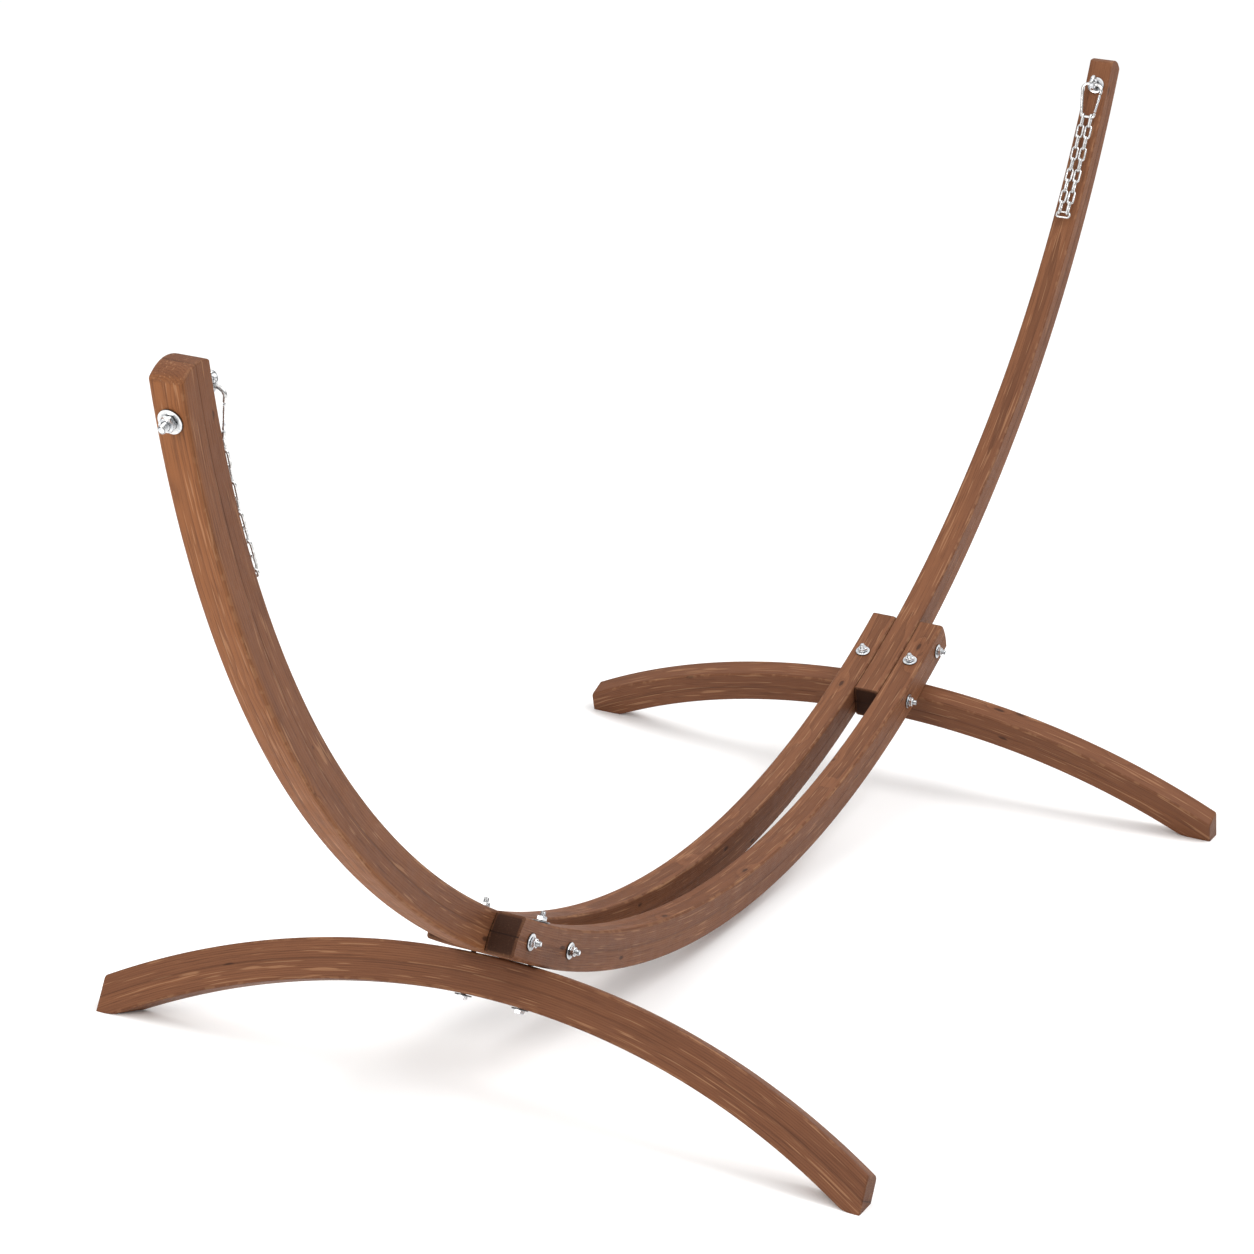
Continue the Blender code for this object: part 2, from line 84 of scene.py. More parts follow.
M8 = {"bolt": 0.004, "pitch": 0.00125, "flats": 0.013, "nut": 0.0065,
      "washer": 0.012, "plate": 0.0020, "out": 0.007, "bore": 0.0046}
M10 = {"bolt": 0.005, "pitch": 0.0015, "flats": 0.017, "nut": 0.0084,
       "washer": 0.015, "plate": 0.0025, "out": 0.009, "bore": 0.0056}
HEAD_H = 0.0053
FOOT_SEAT_DROP = 0.0009   # a flat washer under the hollow side of a foot
SIDES = (("left", -1.0), ("right", 1.0))

# %% [markdown]
# ## Where a point of the arc is
#
# Along a circle of radius R the slope grows by 1/R for each metre, so the
# slope at arc length s is s/R. Adding up cos and sin of the slope gives x and
# z in closed form: x = R sin t and z = R (1 - cos t), and the second circle
# carries on from where the first one stops.

# %% The arc as a function of arc length


def arc_at(s):
    """Slope t, x and z at arc length s: two tangent circles, both ways from 0."""
    s = np.asarray(s, dtype=float)
    sign, s = np.sign(s) + (s == 0), np.abs(s)
    t0 = np.minimum(s, BLEND_S) / ARC_RADIUS
    t1 = t0 + np.maximum(s - BLEND_S, 0.0) / TIP_RADIUS
    x = ARC_RADIUS * np.sin(t0) + TIP_RADIUS * (np.sin(t1) - np.sin(t0))
    z = ARC_RADIUS * (1 - np.cos(t0)) + TIP_RADIUS * (np.cos(t0) - np.cos(t1))
    return t1 * sign, x * sign, z


def foot_drop(depth, y):
    """How far a foot has sunk at y: R - sqrt((R - depth)^2 - y^2)."""
    return FOOT_RADIUS - np.sqrt((FOOT_RADIUS - depth) ** 2 - y ** 2)


joint_t, _, joint_z = (float(v) for v in arc_at(JOINT_S))
lowest = joint_z - (BEAM_DEPTH / 2 + GAP + foot_drop(FOOT_DEPTH, FOOT_SPAN / 2)
                    ) * math.cos(joint_t) - FOOT_WIDTH / 2 * math.sin(joint_t)
BASE_Z = -(lowest + FLOOR_CUT)


def on_arc(side, s, inward, across):
    """Centreline point + inward * normal + across * Y, as an (..., 3) array."""
    t, x, z = arc_at(s)
    px = side * (x - inward * np.sin(t))
    pz = z + inward * np.cos(t) + BASE_Z
    return np.stack([px, across + 0.0 * px, pz], axis=-1)


def axes_at(side, s):
    """Tangent towards the tip and normal towards the inside of the arc."""
    t = float(arc_at(s)[0])
    tangent = np.array([side * math.cos(t), 0.0, math.sin(t)])
    normal = np.array([-side * math.sin(t), 0.0, math.cos(t)])
    return tangent, normal


print("joint slope %.1f degrees, arc lifted %.3f m" % (math.degrees(joint_t), BASE_Z))

# %% [markdown]
# ## From arrays to a mesh
#
# Almost every piece here is a skin of rings: `rows` rings of `cols` points.
# The faces between neighbouring rings are the same pattern every time, so
# they are worked out once as an array of indices. Enclosed volume tells which
# way the faces point: a negative volume means that the skin is inside out.

# %% Grids, skins and pieces


def ring_faces(rows, cols, closed):
    """Quads between ring i and ring i + 1; `closed` joins the last to the first."""
    i = np.arange(rows if closed else rows - 1)[:, None]
    j = np.arange(cols)[None, :]
    i_next, j_next = (i + 1) % rows, (j + 1) % cols
    quads = np.stack([i * cols + j, i * cols + j_next, i_next * cols + j_next,
                      i_next * cols + j], axis=-1)
    return quads.reshape(-1, 4)


def skin(rings, closed=False):
    """Vertices and faces of a closed skin; open ends get a centre point."""
    rows, cols = rings.shape[:2]
    verts = rings.reshape(-1, 3)
    quads = ring_faces(rows, cols, closed)
    if closed:
        return verts, [quads]
    ends = rings[[0, -1]].mean(axis=1)
    j = np.arange(cols)
    j_next, base = (j + 1) % cols, (rows - 1) * cols
    start = np.stack([0 * j + rows * cols, j_next, j], axis=-1)
    stop = np.stack([0 * j + rows * cols + 1, base + j, base + j_next], axis=-1)
    return np.concatenate([verts, ends]), [quads, start, stop]


def signed_volume(verts, parts):
    """Sum of tetrahedra from the origin; positive when faces point outwards."""
    total = 0.0
    for faces in parts:
        a = verts[faces[:, 0]]
        for n in range(1, faces.shape[1] - 1):
            b, c = verts[faces[:, n]], verts[faces[:, n + 1]]
            total += float(np.einsum("ij,ij->i", a, np.cross(b, c)).sum()) / 6
    return total


def join_skins(skins):
    """Several closed skins as one set of vertices and faces."""
    verts, parts, offset = [], [], 0
    for v, faces in skins:
        flip = signed_volume(v - v.mean(axis=0), faces) < 0
        parts += [(f[:, ::-1] if flip else f) + offset for f in faces]
        verts.append(v)
        offset += len(v)
    return np.concatenate(verts), parts


def add_object(name, data):
    """New object in the scene."""
    obj = bpy.data.objects.new(name, data)
    bpy.context.scene.collection.objects.link(obj)
    return obj


def make_piece(name, skins, body, stands_for, material, crease=40):
    """One finished object: closed skins, smooth faces, its material and body."""
    verts, parts = join_skins(skins)
    mesh = bpy.data.meshes.new(name)
    faces = [row for part in parts for row in part.tolist()]
    mesh.from_pydata(verts.tolist(), [], faces)
    mesh.shade_smooth()
    mesh.set_sharp_from_angle(angle=math.radians(crease))
    mesh.materials.append(material)
    obj = add_object(name, mesh)
    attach(obj, body)
    if stands_for:
        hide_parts(*stands_for)
    return obj


def store(obj, label, values):
    """Per-vertex vectors or numbers that a material can read by name."""
    values = np.asarray(values, dtype=np.float32)
    kind, field = ("FLOAT_VECTOR", "vector") if values.ndim == 2 else ("FLOAT", "value")
    data = obj.data.attributes.new(label, kind, "POINT")
    data.data.foreach_set(field, values.ravel())


def rise(value, low, high):
    """0 at `low`, 1 at `high`, and a straight line in between."""
    return np.clip((value - low) / (high - low), 0.0, 1.0)


def full_turn(count):
    """Angles that share out a full turn."""
    return np.arange(count) * 2 * math.pi / count


# %% [markdown]
# ## Shader helpers
#
# A node tree is easier to read when a node and its wires are written in one
# statement. `add_node` makes a node and sets each input, either to a plain
# value or to the output of another node.

# %% Writing node trees


def add_node(tree, kind, inputs=None, **settings):
    """New node; each input is a value, or a socket to link from."""
    node = tree.nodes.new(kind)
    for key, value in settings.items():
        setattr(node, key, value)
    for key, value in (inputs or {}).items():
        if isinstance(value, bpy.types.NodeSocket):
            tree.links.new(value, node.inputs[key])
        else:
            node.inputs[key].default_value = value
    return node


def math_node(tree, operation, a, b=0.0, c=0.0, clamp=False):
    """Math node on two or three values or sockets; returns its output."""
    node = add_node(tree, "ShaderNodeMath", {0: a, 1: b, 2: c}, operation=operation)
    node.use_clamp = clamp
    return node.outputs[0]


def ramp_between(tree, value, low, high):
    """0 below `low`, 1 above `high`, and an S-curve in between."""
    node = add_node(tree, "ShaderNodeMapRange", {
        "Value": value, "From Min": low, "From Max": high, "To Min": 0.0, "To Max": 1.0},
        interpolation_type="SMOOTHSTEP")
    return node.outputs[0]


def mix_colour(tree, factor, a, b):
    """Mix of two colours; returns the colour output."""
    return add_node(tree, "ShaderNodeMix", {"Factor": factor, 6: a, 7: b},
                    data_type="RGBA").outputs[2]


def noise(tree, vector, scale, detail, roughness=0.5):
    """Noise texture; returns its node."""
    return add_node(tree, "ShaderNodeTexNoise", {
        "Vector": vector, "Scale": scale, "Detail": detail, "Roughness": roughness})


def tint(tree, colour, mask, amount, towards):
    """Colour moved towards another by a mask times an amount."""
    return mix_colour(tree, math_node(tree, "MULTIPLY", mask, amount), colour, towards)


def scaled(tree, vector, scales):
    """Vector with each part multiplied, so that a pattern on it stretches."""
    node = add_node(tree, "ShaderNodeVectorMath", {0: vector, 1: scales},
                    operation="MULTIPLY")
    return node.outputs[0]


def start_group(name, inputs, outputs):
    """Empty shader node group with named sockets, its input and output nodes."""
    tree = bpy.data.node_groups.new(name, "ShaderNodeTree")
    for label, kind, value in inputs:
        socket = tree.interface.new_socket(label, in_out="INPUT", socket_type=kind)
        if value is not None:
            socket.default_value = value
    for label, kind in outputs:
        tree.interface.new_socket(label, in_out="OUTPUT", socket_type=kind)
    return tree, tree.nodes.new("NodeGroupInput"), tree.nodes.new("NodeGroupOutput")


def place_group(tree, group, inputs):
    """A node group placed in a material with its own values."""
    return add_node(tree, "ShaderNodeGroup", inputs, node_tree=group)


def new_material(name):
    """Material with nodes; returns it, its tree and its Principled BSDF."""
    mat = bpy.data.materials.new(name)
    mat.use_nodes = True
    return mat, mat.node_tree, mat.node_tree.nodes["Principled BSDF"]


# %% [markdown]
# ## Grain, as one group
#
# Softwood seen along the board shows fine streaks: each growth ring is a pale
# band and a thin dark line, and the saw and the stain leave short bright and
# dark fibres on top. A solid pattern in board coordinates (along, across,
# depth) does both the long faces and the sawn ends, because the ends cut
# through the same rings. The rings are distances from a pith line that lies
# outside the board, bent a little by noise that is stretched along the grain.

# %% Group: growth rings and fibres
FIBRE_STRETCH = (14.0, 620.0, 620.0)     # repeats per metre along, across and deep
STRAW_STRETCH = (13.0, 330.0, 330.0)
TONE_STRETCH = (1.7, 22.0, 22.0)
DRIFT_STRETCH = (2.6, 16.0, 16.0)
LATE_WOOD = 3.0                          # the higher, the thinner the dark line of a ring
grain_group, g_in, g_out = start_group(
    "Wood grain",
    (("Board", "NodeSocketVector", None), ("Ring Spacing", "NodeSocketFloat", 0.0032),
     ("Pith Across", "NodeSocketFloat", 0.01), ("Pith Depth", "NodeSocketFloat", -0.06),
     ("Waviness", "NodeSocketFloat", 0.003), ("Bend", "NodeSocketFloat", 0.0)),
    (("Rings", "NodeSocketFloat"), ("Fibres", "NodeSocketFloat"),
     ("Straws", "NodeSocketFloat"), ("Tone", "NodeSocketFloat")))
t = grain_group
place = g_in.outputs["Board"]
drift = noise(t, scaled(t, place, DRIFT_STRETCH), 1.0, 2.0)
centred = add_node(t, "ShaderNodeVectorMath", {0: drift.outputs["Color"], 1: (0.5, 0.5, 0.5)},
                   operation="SUBTRACT").outputs[0]
shift = add_node(t, "ShaderNodeVectorMath", {0: centred, "Scale": g_in.outputs["Waviness"]},
                 operation="SCALE").outputs[0]
bent = add_node(t, "ShaderNodeVectorMath", {0: place, 1: shift}, operation="ADD").outputs[0]
parts = add_node(t, "ShaderNodeSeparateXYZ", {0: bent})
across = math_node(t, "SUBTRACT", parts.outputs[1], g_in.outputs["Pith Across"])
depth = math_node(t, "SUBTRACT", parts.outputs[2], g_in.outputs["Pith Depth"])
radius = math_node(t, "SQRT", math_node(t, "ADD", math_node(t, "MULTIPLY", across, across),
                                        math_node(t, "MULTIPLY", depth, depth)))
radius = math_node(t, "ADD", radius, g_in.outputs["Bend"])
turns = math_node(t, "DIVIDE", radius, g_in.outputs["Ring Spacing"])
late = math_node(t, "POWER", math_node(t, "FRACT", turns), LATE_WOOD)
t.links.new(late, g_out.inputs["Rings"])
fibre = noise(t, scaled(t, place, FIBRE_STRETCH), 1.0, 3.0, 0.6)
t.links.new(fibre.outputs["Fac"], g_out.inputs["Fibres"])
straw = noise(t, scaled(t, place, STRAW_STRETCH), 1.0, 1.0)
t.links.new(ramp_between(t, straw.outputs["Fac"], 0.62, 0.70), g_out.inputs["Straws"])
tone = noise(t, scaled(t, place, TONE_STRETCH), 1.0, 3.0)
t.links.new(tone.outputs["Fac"], g_out.inputs["Tone"])
print("grain group:", len(t.nodes), "nodes")

# %% [markdown]
# ## Knots, as one group
#
# Small knots sit here and there, each a dark oval with the grain flowing
# round it. A Voronoi pattern scatters one point in each cell of board space;
# stretched cells make the ovals. The group gives a mask for the dark heart
# and a soft bump that the rings add to their radius, so they bend around it.

# %% Group: small knots
KNOT_CELLS = (9.0, 24.0, 24.0)           # cells per metre along, across and deep
knot_group, k_in, k_out = start_group(
    "Small knots",
    (("Board", "NodeSocketVector", None), ("Size", "NodeSocketFloat", 0.11)),
    (("Heart", "NodeSocketFloat"), ("Swirl", "NodeSocketFloat")))
t = knot_group
cells = scaled(t, k_in.outputs["Board"], KNOT_CELLS)
points = add_node(t, "ShaderNodeTexVoronoi", {"Vector": cells, "Scale": 1.0})
wobble = noise(t, cells, 9.0, 2.0)
dist = math_node(t, "MULTIPLY_ADD", wobble.outputs["Fac"], 0.06, points.outputs["Distance"])
inside = math_node(t, "DIVIDE", dist, k_in.outputs["Size"])
heart = math_node(t, "SUBTRACT", 1.0, ramp_between(t, inside, 0.75, 1.25))
t.links.new(heart, k_out.inputs["Heart"])
fall = math_node(t, "MULTIPLY", math_node(t, "MULTIPLY", inside, inside), -0.35)
t.links.new(math_node(t, "EXPONENT", fall), k_out.inputs["Swirl"])
print("knot group:", len(t.nodes), "nodes")

# %% [markdown]
# ## Wear and grime, as groups
#
# Wood that is handled loses its stain along the edges, in patches and not in an
# even line. One group cuts a mask into such patches with a noise. Another makes
# an even, fine speckle with slower patches under it, which the wood and the
# zinc both use to vary how smooth they are.

# %% Groups: rubbed edges and fine speckle
wear_group, w_in, w_out = start_group(
    "Rubbed edges",
    (("Mask", "NodeSocketFloat", 0.0), ("Place", "NodeSocketVector", None),
     ("Patch Size", "NodeSocketFloat", 60.0), ("Amount", "NodeSocketFloat", 0.5)),
    (("Worn", "NodeSocketFloat"),))
t = wear_group
patch = noise(t, w_in.outputs["Place"], w_in.outputs["Patch Size"], 4.0)
level = math_node(t, "SUBTRACT", 1.0, w_in.outputs["Amount"])
above = math_node(t, "SUBTRACT", patch.outputs["Fac"], math_node(t, "MULTIPLY", level, 0.75))
worn = math_node(t, "MULTIPLY", ramp_between(t, above, 0.0, 0.12), w_in.outputs["Mask"])
t.links.new(worn, w_out.inputs["Worn"])

speckle_group, s_in, s_out = start_group(
    "Fine speckle",
    (("Place", "NodeSocketVector", None), ("Grain", "NodeSocketFloat", 900.0)),
    (("Speckle", "NodeSocketFloat"), ("Patches", "NodeSocketFloat")))
t = speckle_group
small = noise(t, s_in.outputs["Place"], s_in.outputs["Grain"], 2.0)
large = noise(t, s_in.outputs["Place"],
              math_node(t, "MULTIPLY", s_in.outputs["Grain"], 0.12), 3.0)
t.links.new(small.outputs["Fac"], s_out.inputs["Speckle"])
t.links.new(large.outputs["Fac"], s_out.inputs["Patches"])
print("wear and speckle groups ready")

# %% [markdown]
# ## Stained wood
#
# The stain is a thin reddish-brown film. It is darker where it soaks in: on
# sawn ends, in a thin glue line and in the knots. It is lighter where fibres
# stand proud. A broad dark band along the glue line is painted shade that
# stands for the shade of a groove, every rounded edge gets a little painted
# shade, and the outer face, most of all on the arms, gets painted warm light.
# The mesh brings two vectors: `board` gives the place in the straight board,
# and `marks` says how much of an edge and of a sawn end a point is. The two
# boards of a beam are told apart by the sign of the depth, and each looks up
# its own stretch of the pattern.

# %% Material: stained laminated softwood
BROWN = (0.152, 0.060, 0.029, 1.0)
AMBER = (0.198, 0.080, 0.037, 1.0)
UMBER = (0.062, 0.023, 0.012, 1.0)
STRAW = (0.390, 0.205, 0.105, 1.0)
LIT_FACE_HONEY = (0.235, 0.088, 0.031, 1.0)
SOAKED = (0.026, 0.011, 0.007, 1.0)
GROOVE_SHADE_BAND, GLUE_LINE = (0.0005, 0.0055), (0.0004, 0.0014)   # half-widths, soft from and to
LIT_FACE_DEPTH = (-0.018, -0.028)            # depth where the painted warm light on the outer face begins
KNOT_BEND = 0.006                        # how far the rings step aside for a knot


def stained_wood(name, pith_depth, amber, lit_face_paint):
    """Principled wood whose colour, roughness and bump follow the grain, with painted light and
    shade in the colour.
    """
    mat, tree, bsdf = new_material(name)
    board = add_node(tree, "ShaderNodeAttribute", attribute_name="board").outputs["Vector"]
    marks = add_node(tree, "ShaderNodeSeparateXYZ", {
        0: add_node(tree, "ShaderNodeAttribute", attribute_name="marks").outputs["Vector"]})
    edge, sawn = marks.outputs[0], marks.outputs[1]
    depth = add_node(tree, "ShaderNodeSeparateXYZ", {0: board}).outputs[2]
    ply = math_node(tree, "GREATER_THAN", depth, 0.0)
    jump = add_node(tree, "ShaderNodeCombineXYZ", {
        0: math_node(tree, "MULTIPLY", ply, 3.7), 1: math_node(tree, "MULTIPLY", ply, 0.013)})
    own = add_node(tree, "ShaderNodeVectorMath", {0: board, 1: jump.outputs[0]},
                   operation="ADD").outputs[0]
    knots = place_group(tree, knot_group, {"Board": own})
    bend = math_node(tree, "MULTIPLY", knots.outputs["Swirl"], KNOT_BEND)
    grain = place_group(tree, grain_group, {
        "Board": own, "Bend": bend, "Pith Depth": pith_depth})
    tone = ramp_between(tree, grain.outputs["Tone"], 0.32, 0.68)
    colour = mix_colour(tree, math_node(tree, "MULTIPLY", tone, amber), BROWN, AMBER)
    # painted light: the outer face is tinted warmer and lighter, as if lit
    outer = ramp_between(tree, depth, *LIT_FACE_DEPTH)
    colour = tint(tree, colour, outer, lit_face_paint, LIT_FACE_HONEY)
    colour = tint(tree, colour, grain.outputs["Rings"], 0.42, UMBER)
    fibre = ramp_between(tree, grain.outputs["Fibres"], 0.50, 0.30)
    colour = tint(tree, colour, fibre, 0.50, UMBER)
    colour = tint(tree, colour, grain.outputs["Straws"], 0.40, STRAW)
    colour = tint(tree, colour, knots.outputs["Heart"], 0.75, SOAKED)
    # painted shade: every rounded edge is darkened a little
    colour = tint(tree, colour, edge, 0.12, UMBER)
    rubbed = place_group(tree, wear_group, {"Mask": edge, "Place": board, "Amount": 0.36})
    colour = tint(tree, colour, rubbed.outputs["Worn"], 0.22, STRAW)

    seam = math_node(tree, "ABSOLUTE", depth)
    fade = ramp_between(tree, grain.outputs["Tone"], 0.62, 0.40)
    # painted shade: a broad dark band along the glue line stands for the shade of a groove
    # there; the thin line after it is the dark glue joint itself
    groove_shade = math_node(tree, "SUBTRACT", 1.0, ramp_between(tree, seam, *GROOVE_SHADE_BAND))
    colour = tint(tree, colour, groove_shade, math_node(tree, "MULTIPLY_ADD", fade, 0.18, 0.04), UMBER)
    line = math_node(tree, "SUBTRACT", 1.0, ramp_between(tree, seam, *GLUE_LINE))
    shown = math_node(tree, "MULTIPLY_ADD", fade, 0.20, 0.04)
    shown = math_node(tree, "MULTIPLY_ADD", sawn, 2.5, shown, clamp=True)
    colour = tint(tree, colour, line, shown, SOAKED)
    colour = tint(tree, colour, sawn, 0.92, SOAKED)
    tree.links.new(colour, bsdf.inputs["Base Color"])

    speck = place_group(tree, speckle_group, {"Place": board, "Grain": 420.0})
    rough = math_node(tree, "MULTIPLY_ADD", speck.outputs["Patches"], 0.22, 0.42)
    rough = math_node(tree, "MULTIPLY_ADD", sawn, 0.2, rough)
    tree.links.new(rough, bsdf.inputs["Roughness"])
    height = math_node(tree, "MULTIPLY_ADD", grain.outputs["Rings"], -0.5,
                       grain.outputs["Fibres"])
    height = math_node(tree, "MULTIPLY_ADD", knots.outputs["Heart"], -0.6, height)
    bump = add_node(tree, "ShaderNodeBump", {"Height": height, "Strength": 0.55,
                                             "Distance": 0.0006})
    tree.links.new(bump.outputs[0], bsdf.inputs["Normal"])
    bsdf.inputs["Specular IOR Level"].default_value = 0.12
    print(name, "ready")
    return mat


# the last number is how much painted warm light each outer face gets
arm_wood = stained_wood("stained_wood_arms", -0.060, 0.9, 0.8)
beam_wood = stained_wood("stained_wood_beams", -0.085, 0.8, 0.1)
foot_wood = stained_wood("stained_wood_feet", 0.110, 0.6, 0.0)

# %% [markdown]
# ## Zinc-plated steel
#
# Bright zinc is a mirror with a faint haze: fine speckle scatters the
# highlight, and larger patches are a little bluer or duller. The chain and
# the hooks are barrel-plated, so they are softer and a little yellower. Some
# meshes bring a number that says where painted shade darkens the zinc: on
# washer rims, at nut feet, round washer bores and in thread valleys.

# %% Material: zinc plating
METAL_SHADE_GREY = (0.030, 0.029, 0.028, 1.0)


def zinc_plate(name, bright, dull, roughness, grain):
    """Metal with speckled roughness, slow patches of dull plating and painted shade where the
    mesh marks it.
    """
    mat, tree, bsdf = new_material(name)
    place = add_node(tree, "ShaderNodeTexCoord").outputs["Object"]
    speck = place_group(tree, speckle_group, {"Place": place, "Grain": grain})
    patches = ramp_between(tree, speck.outputs["Patches"], 0.38, 0.66)
    plating = mix_colour(tree, patches, bright, dull)
    painted_metal_shade = add_node(tree, "ShaderNodeAttribute", attribute_name="painted_metal_shade").outputs["Fac"]
    # painted shade: marked rims, feet and thread valleys are mixed towards dark grey
    metal_shade = math_node(tree, "MULTIPLY", painted_metal_shade, 0.85)
    tree.links.new(mix_colour(tree, metal_shade, plating, METAL_SHADE_GREY), bsdf.inputs["Base Color"])
    rough = math_node(tree, "MULTIPLY_ADD", speck.outputs["Speckle"], 0.16, roughness)
    rough = math_node(tree, "MULTIPLY_ADD", patches, 0.10, rough)
    tree.links.new(rough, bsdf.inputs["Roughness"])
    bump = add_node(tree, "ShaderNodeBump", {"Height": speck.outputs["Speckle"],
                                             "Strength": 0.12, "Distance": 0.0001})
    tree.links.new(bump.outputs[0], bsdf.inputs["Normal"])
    bsdf.inputs["Metallic"].default_value = 1.0
    return mat


bolt_zinc = zinc_plate("zinc_bolts", (0.82, 0.83, 0.84, 1.0), (0.52, 0.54, 0.57, 1.0),
                       0.14, 1500.0)
washer_zinc = zinc_plate("zinc_washers", (0.78, 0.79, 0.80, 1.0), (0.46, 0.48, 0.51, 1.0),
                         0.20, 1100.0)
wire_zinc = zinc_plate("zinc_wire", (0.74, 0.74, 0.74, 1.0), (0.50, 0.50, 0.49, 1.0),
                       0.15, 1300.0)

# %% [markdown]
# ## The section of a beam
#
# A beam is two boards glued face to face, planed together and rounded along
# its four edges. A shallow groove shows where the boards meet. The section is
# one closed outline: quarter circles at the corners, straight faces, and a
# cosine dip of the side faces in the middle of the depth.

# %% Outline of the laminated section
GROOVE_HALF, GROOVE_DEEP = 0.0017, 0.0003
GROOVE_CLEAR = 2.2 * GROOVE_HALF         # the flat of a side stops this far from the seam


def half_outline(width, depth):
    """Right half as (across, depth, edge mark), from bottom to top centre.

    The corner is a quarter circle of ARRIS, marked by sin(2 a); the groove is
    0.5 + 0.5 cos(pi g) of its depth, with g from -1 to 1 over its width.
    """
    hw, hd = width / 2, depth / 2
    flat = np.linspace(0.0, hw - ARRIS, 5)[:-1]
    bottom = np.stack([flat, 0 * flat - hd, 0 * flat], axis=1)
    a = np.linspace(0.0, math.pi / 2, 8)
    corner = np.stack([hw - ARRIS + ARRIS * np.sin(a), -hd + ARRIS - ARRIS * np.cos(a),
                       np.sin(2 * a)], axis=1)
    d = np.linspace(-hd + ARRIS, -GROOVE_CLEAR, 6)[1:]
    side = np.stack([0 * d + hw, d, 0 * d], axis=1)
    g = np.linspace(-1.0, 1.0, 11)
    dip = 0.5 + 0.5 * np.cos(math.pi * g)
    groove = np.stack([hw - GROOVE_DEEP * dip, g * GROOVE_HALF, 0 * g], axis=1)
    below = np.concatenate([bottom, corner, side])
    above = below[::-1] * np.array([1.0, -1.0, 1.0])
    return np.concatenate([below, groove, above])


def whole_outline(width, depth):
    """Both halves as one closed loop."""
    right = half_outline(width, depth)
    left = right[::-1] * np.array([-1.0, 1.0, 1.0])
    return np.concatenate([right, left[1:-1]])


print("section points:", len(whole_outline(BEAM_WIDTH, BEAM_DEPTH)))

# %% [markdown]
# ## Carrying the section along
#
# The same set of rings serves every beam. Most of them are spaced along the
# length. At each end a few rings shrink along a quarter circle, which rounds
# the sawn edge, and then scale down to the middle of the end face. Because
# each ring is a table of (shrink, position), the end face can be any smooth
# cut: its position is a function of depth.

# %% Rings of a beam
END_CROWDING = 0.12      # start of the cosine that crowds the rings at the ends
ARRIS_MARK = 0.55        # how dark the rounding of a sawn end is, of its face
SAWN_EDGE = 0.8          # how much of an edge that rounding counts as


def beam_rings(count, width, depth):
    """Per ring: t from 0 to 1, extra length, scales across and deep, on-end mark.

    Body rings sit at t = 0.5 - 0.5 cos, closer at both ends. The arris is a
    quarter circle of SAWN_ARRIS, and the end face shrinks towards its middle.
    """
    r = SAWN_ARRIS
    t = 0.5 - 0.5 * np.cos(np.linspace(END_CROWDING, math.pi - END_CROWDING, count))
    t = (t - t[0]) / (t[-1] - t[0])
    phi = np.linspace(0.0, math.pi / 2, 6)[:-1]
    inset, reach = r * (1 - np.sin(phi)), r * np.cos(phi)
    shrink = np.linspace(0.04, 1.0, 10)[:-1]
    extra = np.concatenate([0 * shrink - r, -reach, 0 * t])
    on_end = np.concatenate([0 * shrink + 1.0, 0 * phi + ARRIS_MARK, 0 * t])
    scales = [np.concatenate([shrink * (1 - 2 * r / size), 1 - 2 * inset / size, 0 * t + 1])
              for size in (width, depth)]
    along = np.concatenate([0 * shrink, 0 * phi, t])
    rows = np.column_stack([along, extra, *scales, on_end])
    tail = rows[: len(shrink) + len(phi)][::-1].copy()
    tail[:, 0], tail[:, 1] = 1.0, -tail[:, 1]
    return np.concatenate([rows, tail])


def board_arrays(section, rings, start_of, stop_of):
    """Along, across and depth for every ring and outline point, plus marks."""
    t, extra, wide, deep, on_end = (rings[:, i][:, None] for i in range(5))
    across, depth = section[None, :, 0] * wide, section[None, :, 1] * deep
    s0, s1 = start_of(depth) + SAWN_ARRIS, stop_of(depth) - SAWN_ARRIS
    along = s0 + (s1 - s0) * t + extra
    on_end = on_end + 0 * depth
    edge = section[None, :, 2] * (1.0 - on_end) + SAWN_EDGE * (on_end == ARRIS_MARK)
    return along, across, depth, edge, on_end


def wood_piece(name, arrays, place, end_dark, shift, material):
    """Places board arrays in space and stores `board` and `marks` on the mesh."""
    along, across, depth, edge, on_end = arrays
    obj = make_piece(name, [skin(place(along, across, depth))], "stand", [name],
                     material, 50)
    for label, parts in (("board", (along + shift, across, depth)),
                         ("marks", (edge, on_end * end_dark(along), 0 * edge))):
        values = np.stack(parts, axis=-1)
        tips = values[[0, -1]].mean(axis=1)
        store(obj, label, np.concatenate([values.reshape(-1, 3), tips]))


def crowned(s, sign, crown, middle, depth):
    """A sawn end: s less crown * (d / depth - middle)^2, on either end."""
    return lambda d: s - sign * crown * (d / depth - middle) ** 2


# %% [markdown]
# ## Arms and middle beams
#
# Each arm is a single beam that starts between the middle beams and ends in a
# crowned tip. The middle beams are cut rounder on their inner side. The sawn
# ends of the beams take the stain very dark, while the tips stay brown.

# %% Build the arms
beam_section = whole_outline(BEAM_WIDTH, BEAM_DEPTH)
for n, (label, side) in enumerate(SIDES):
    arrays = board_arrays(
        beam_section, beam_rings(170, BEAM_WIDTH, BEAM_DEPTH),
        lambda d: ARM_START_S + 0 * d, crowned(HALF_ARC, 1, TIP_CROWN, 0.0, BEAM_DEPTH))
    wood_piece(
        "arm_" + label, arrays, lambda s, a, d, side=side: on_arc(side, s, d, a),
        lambda s: np.where(s > BLEND_S, 0.10, 1.0), 5.3 * n, arm_wood)
    print("arm", label, arrays[0].shape)

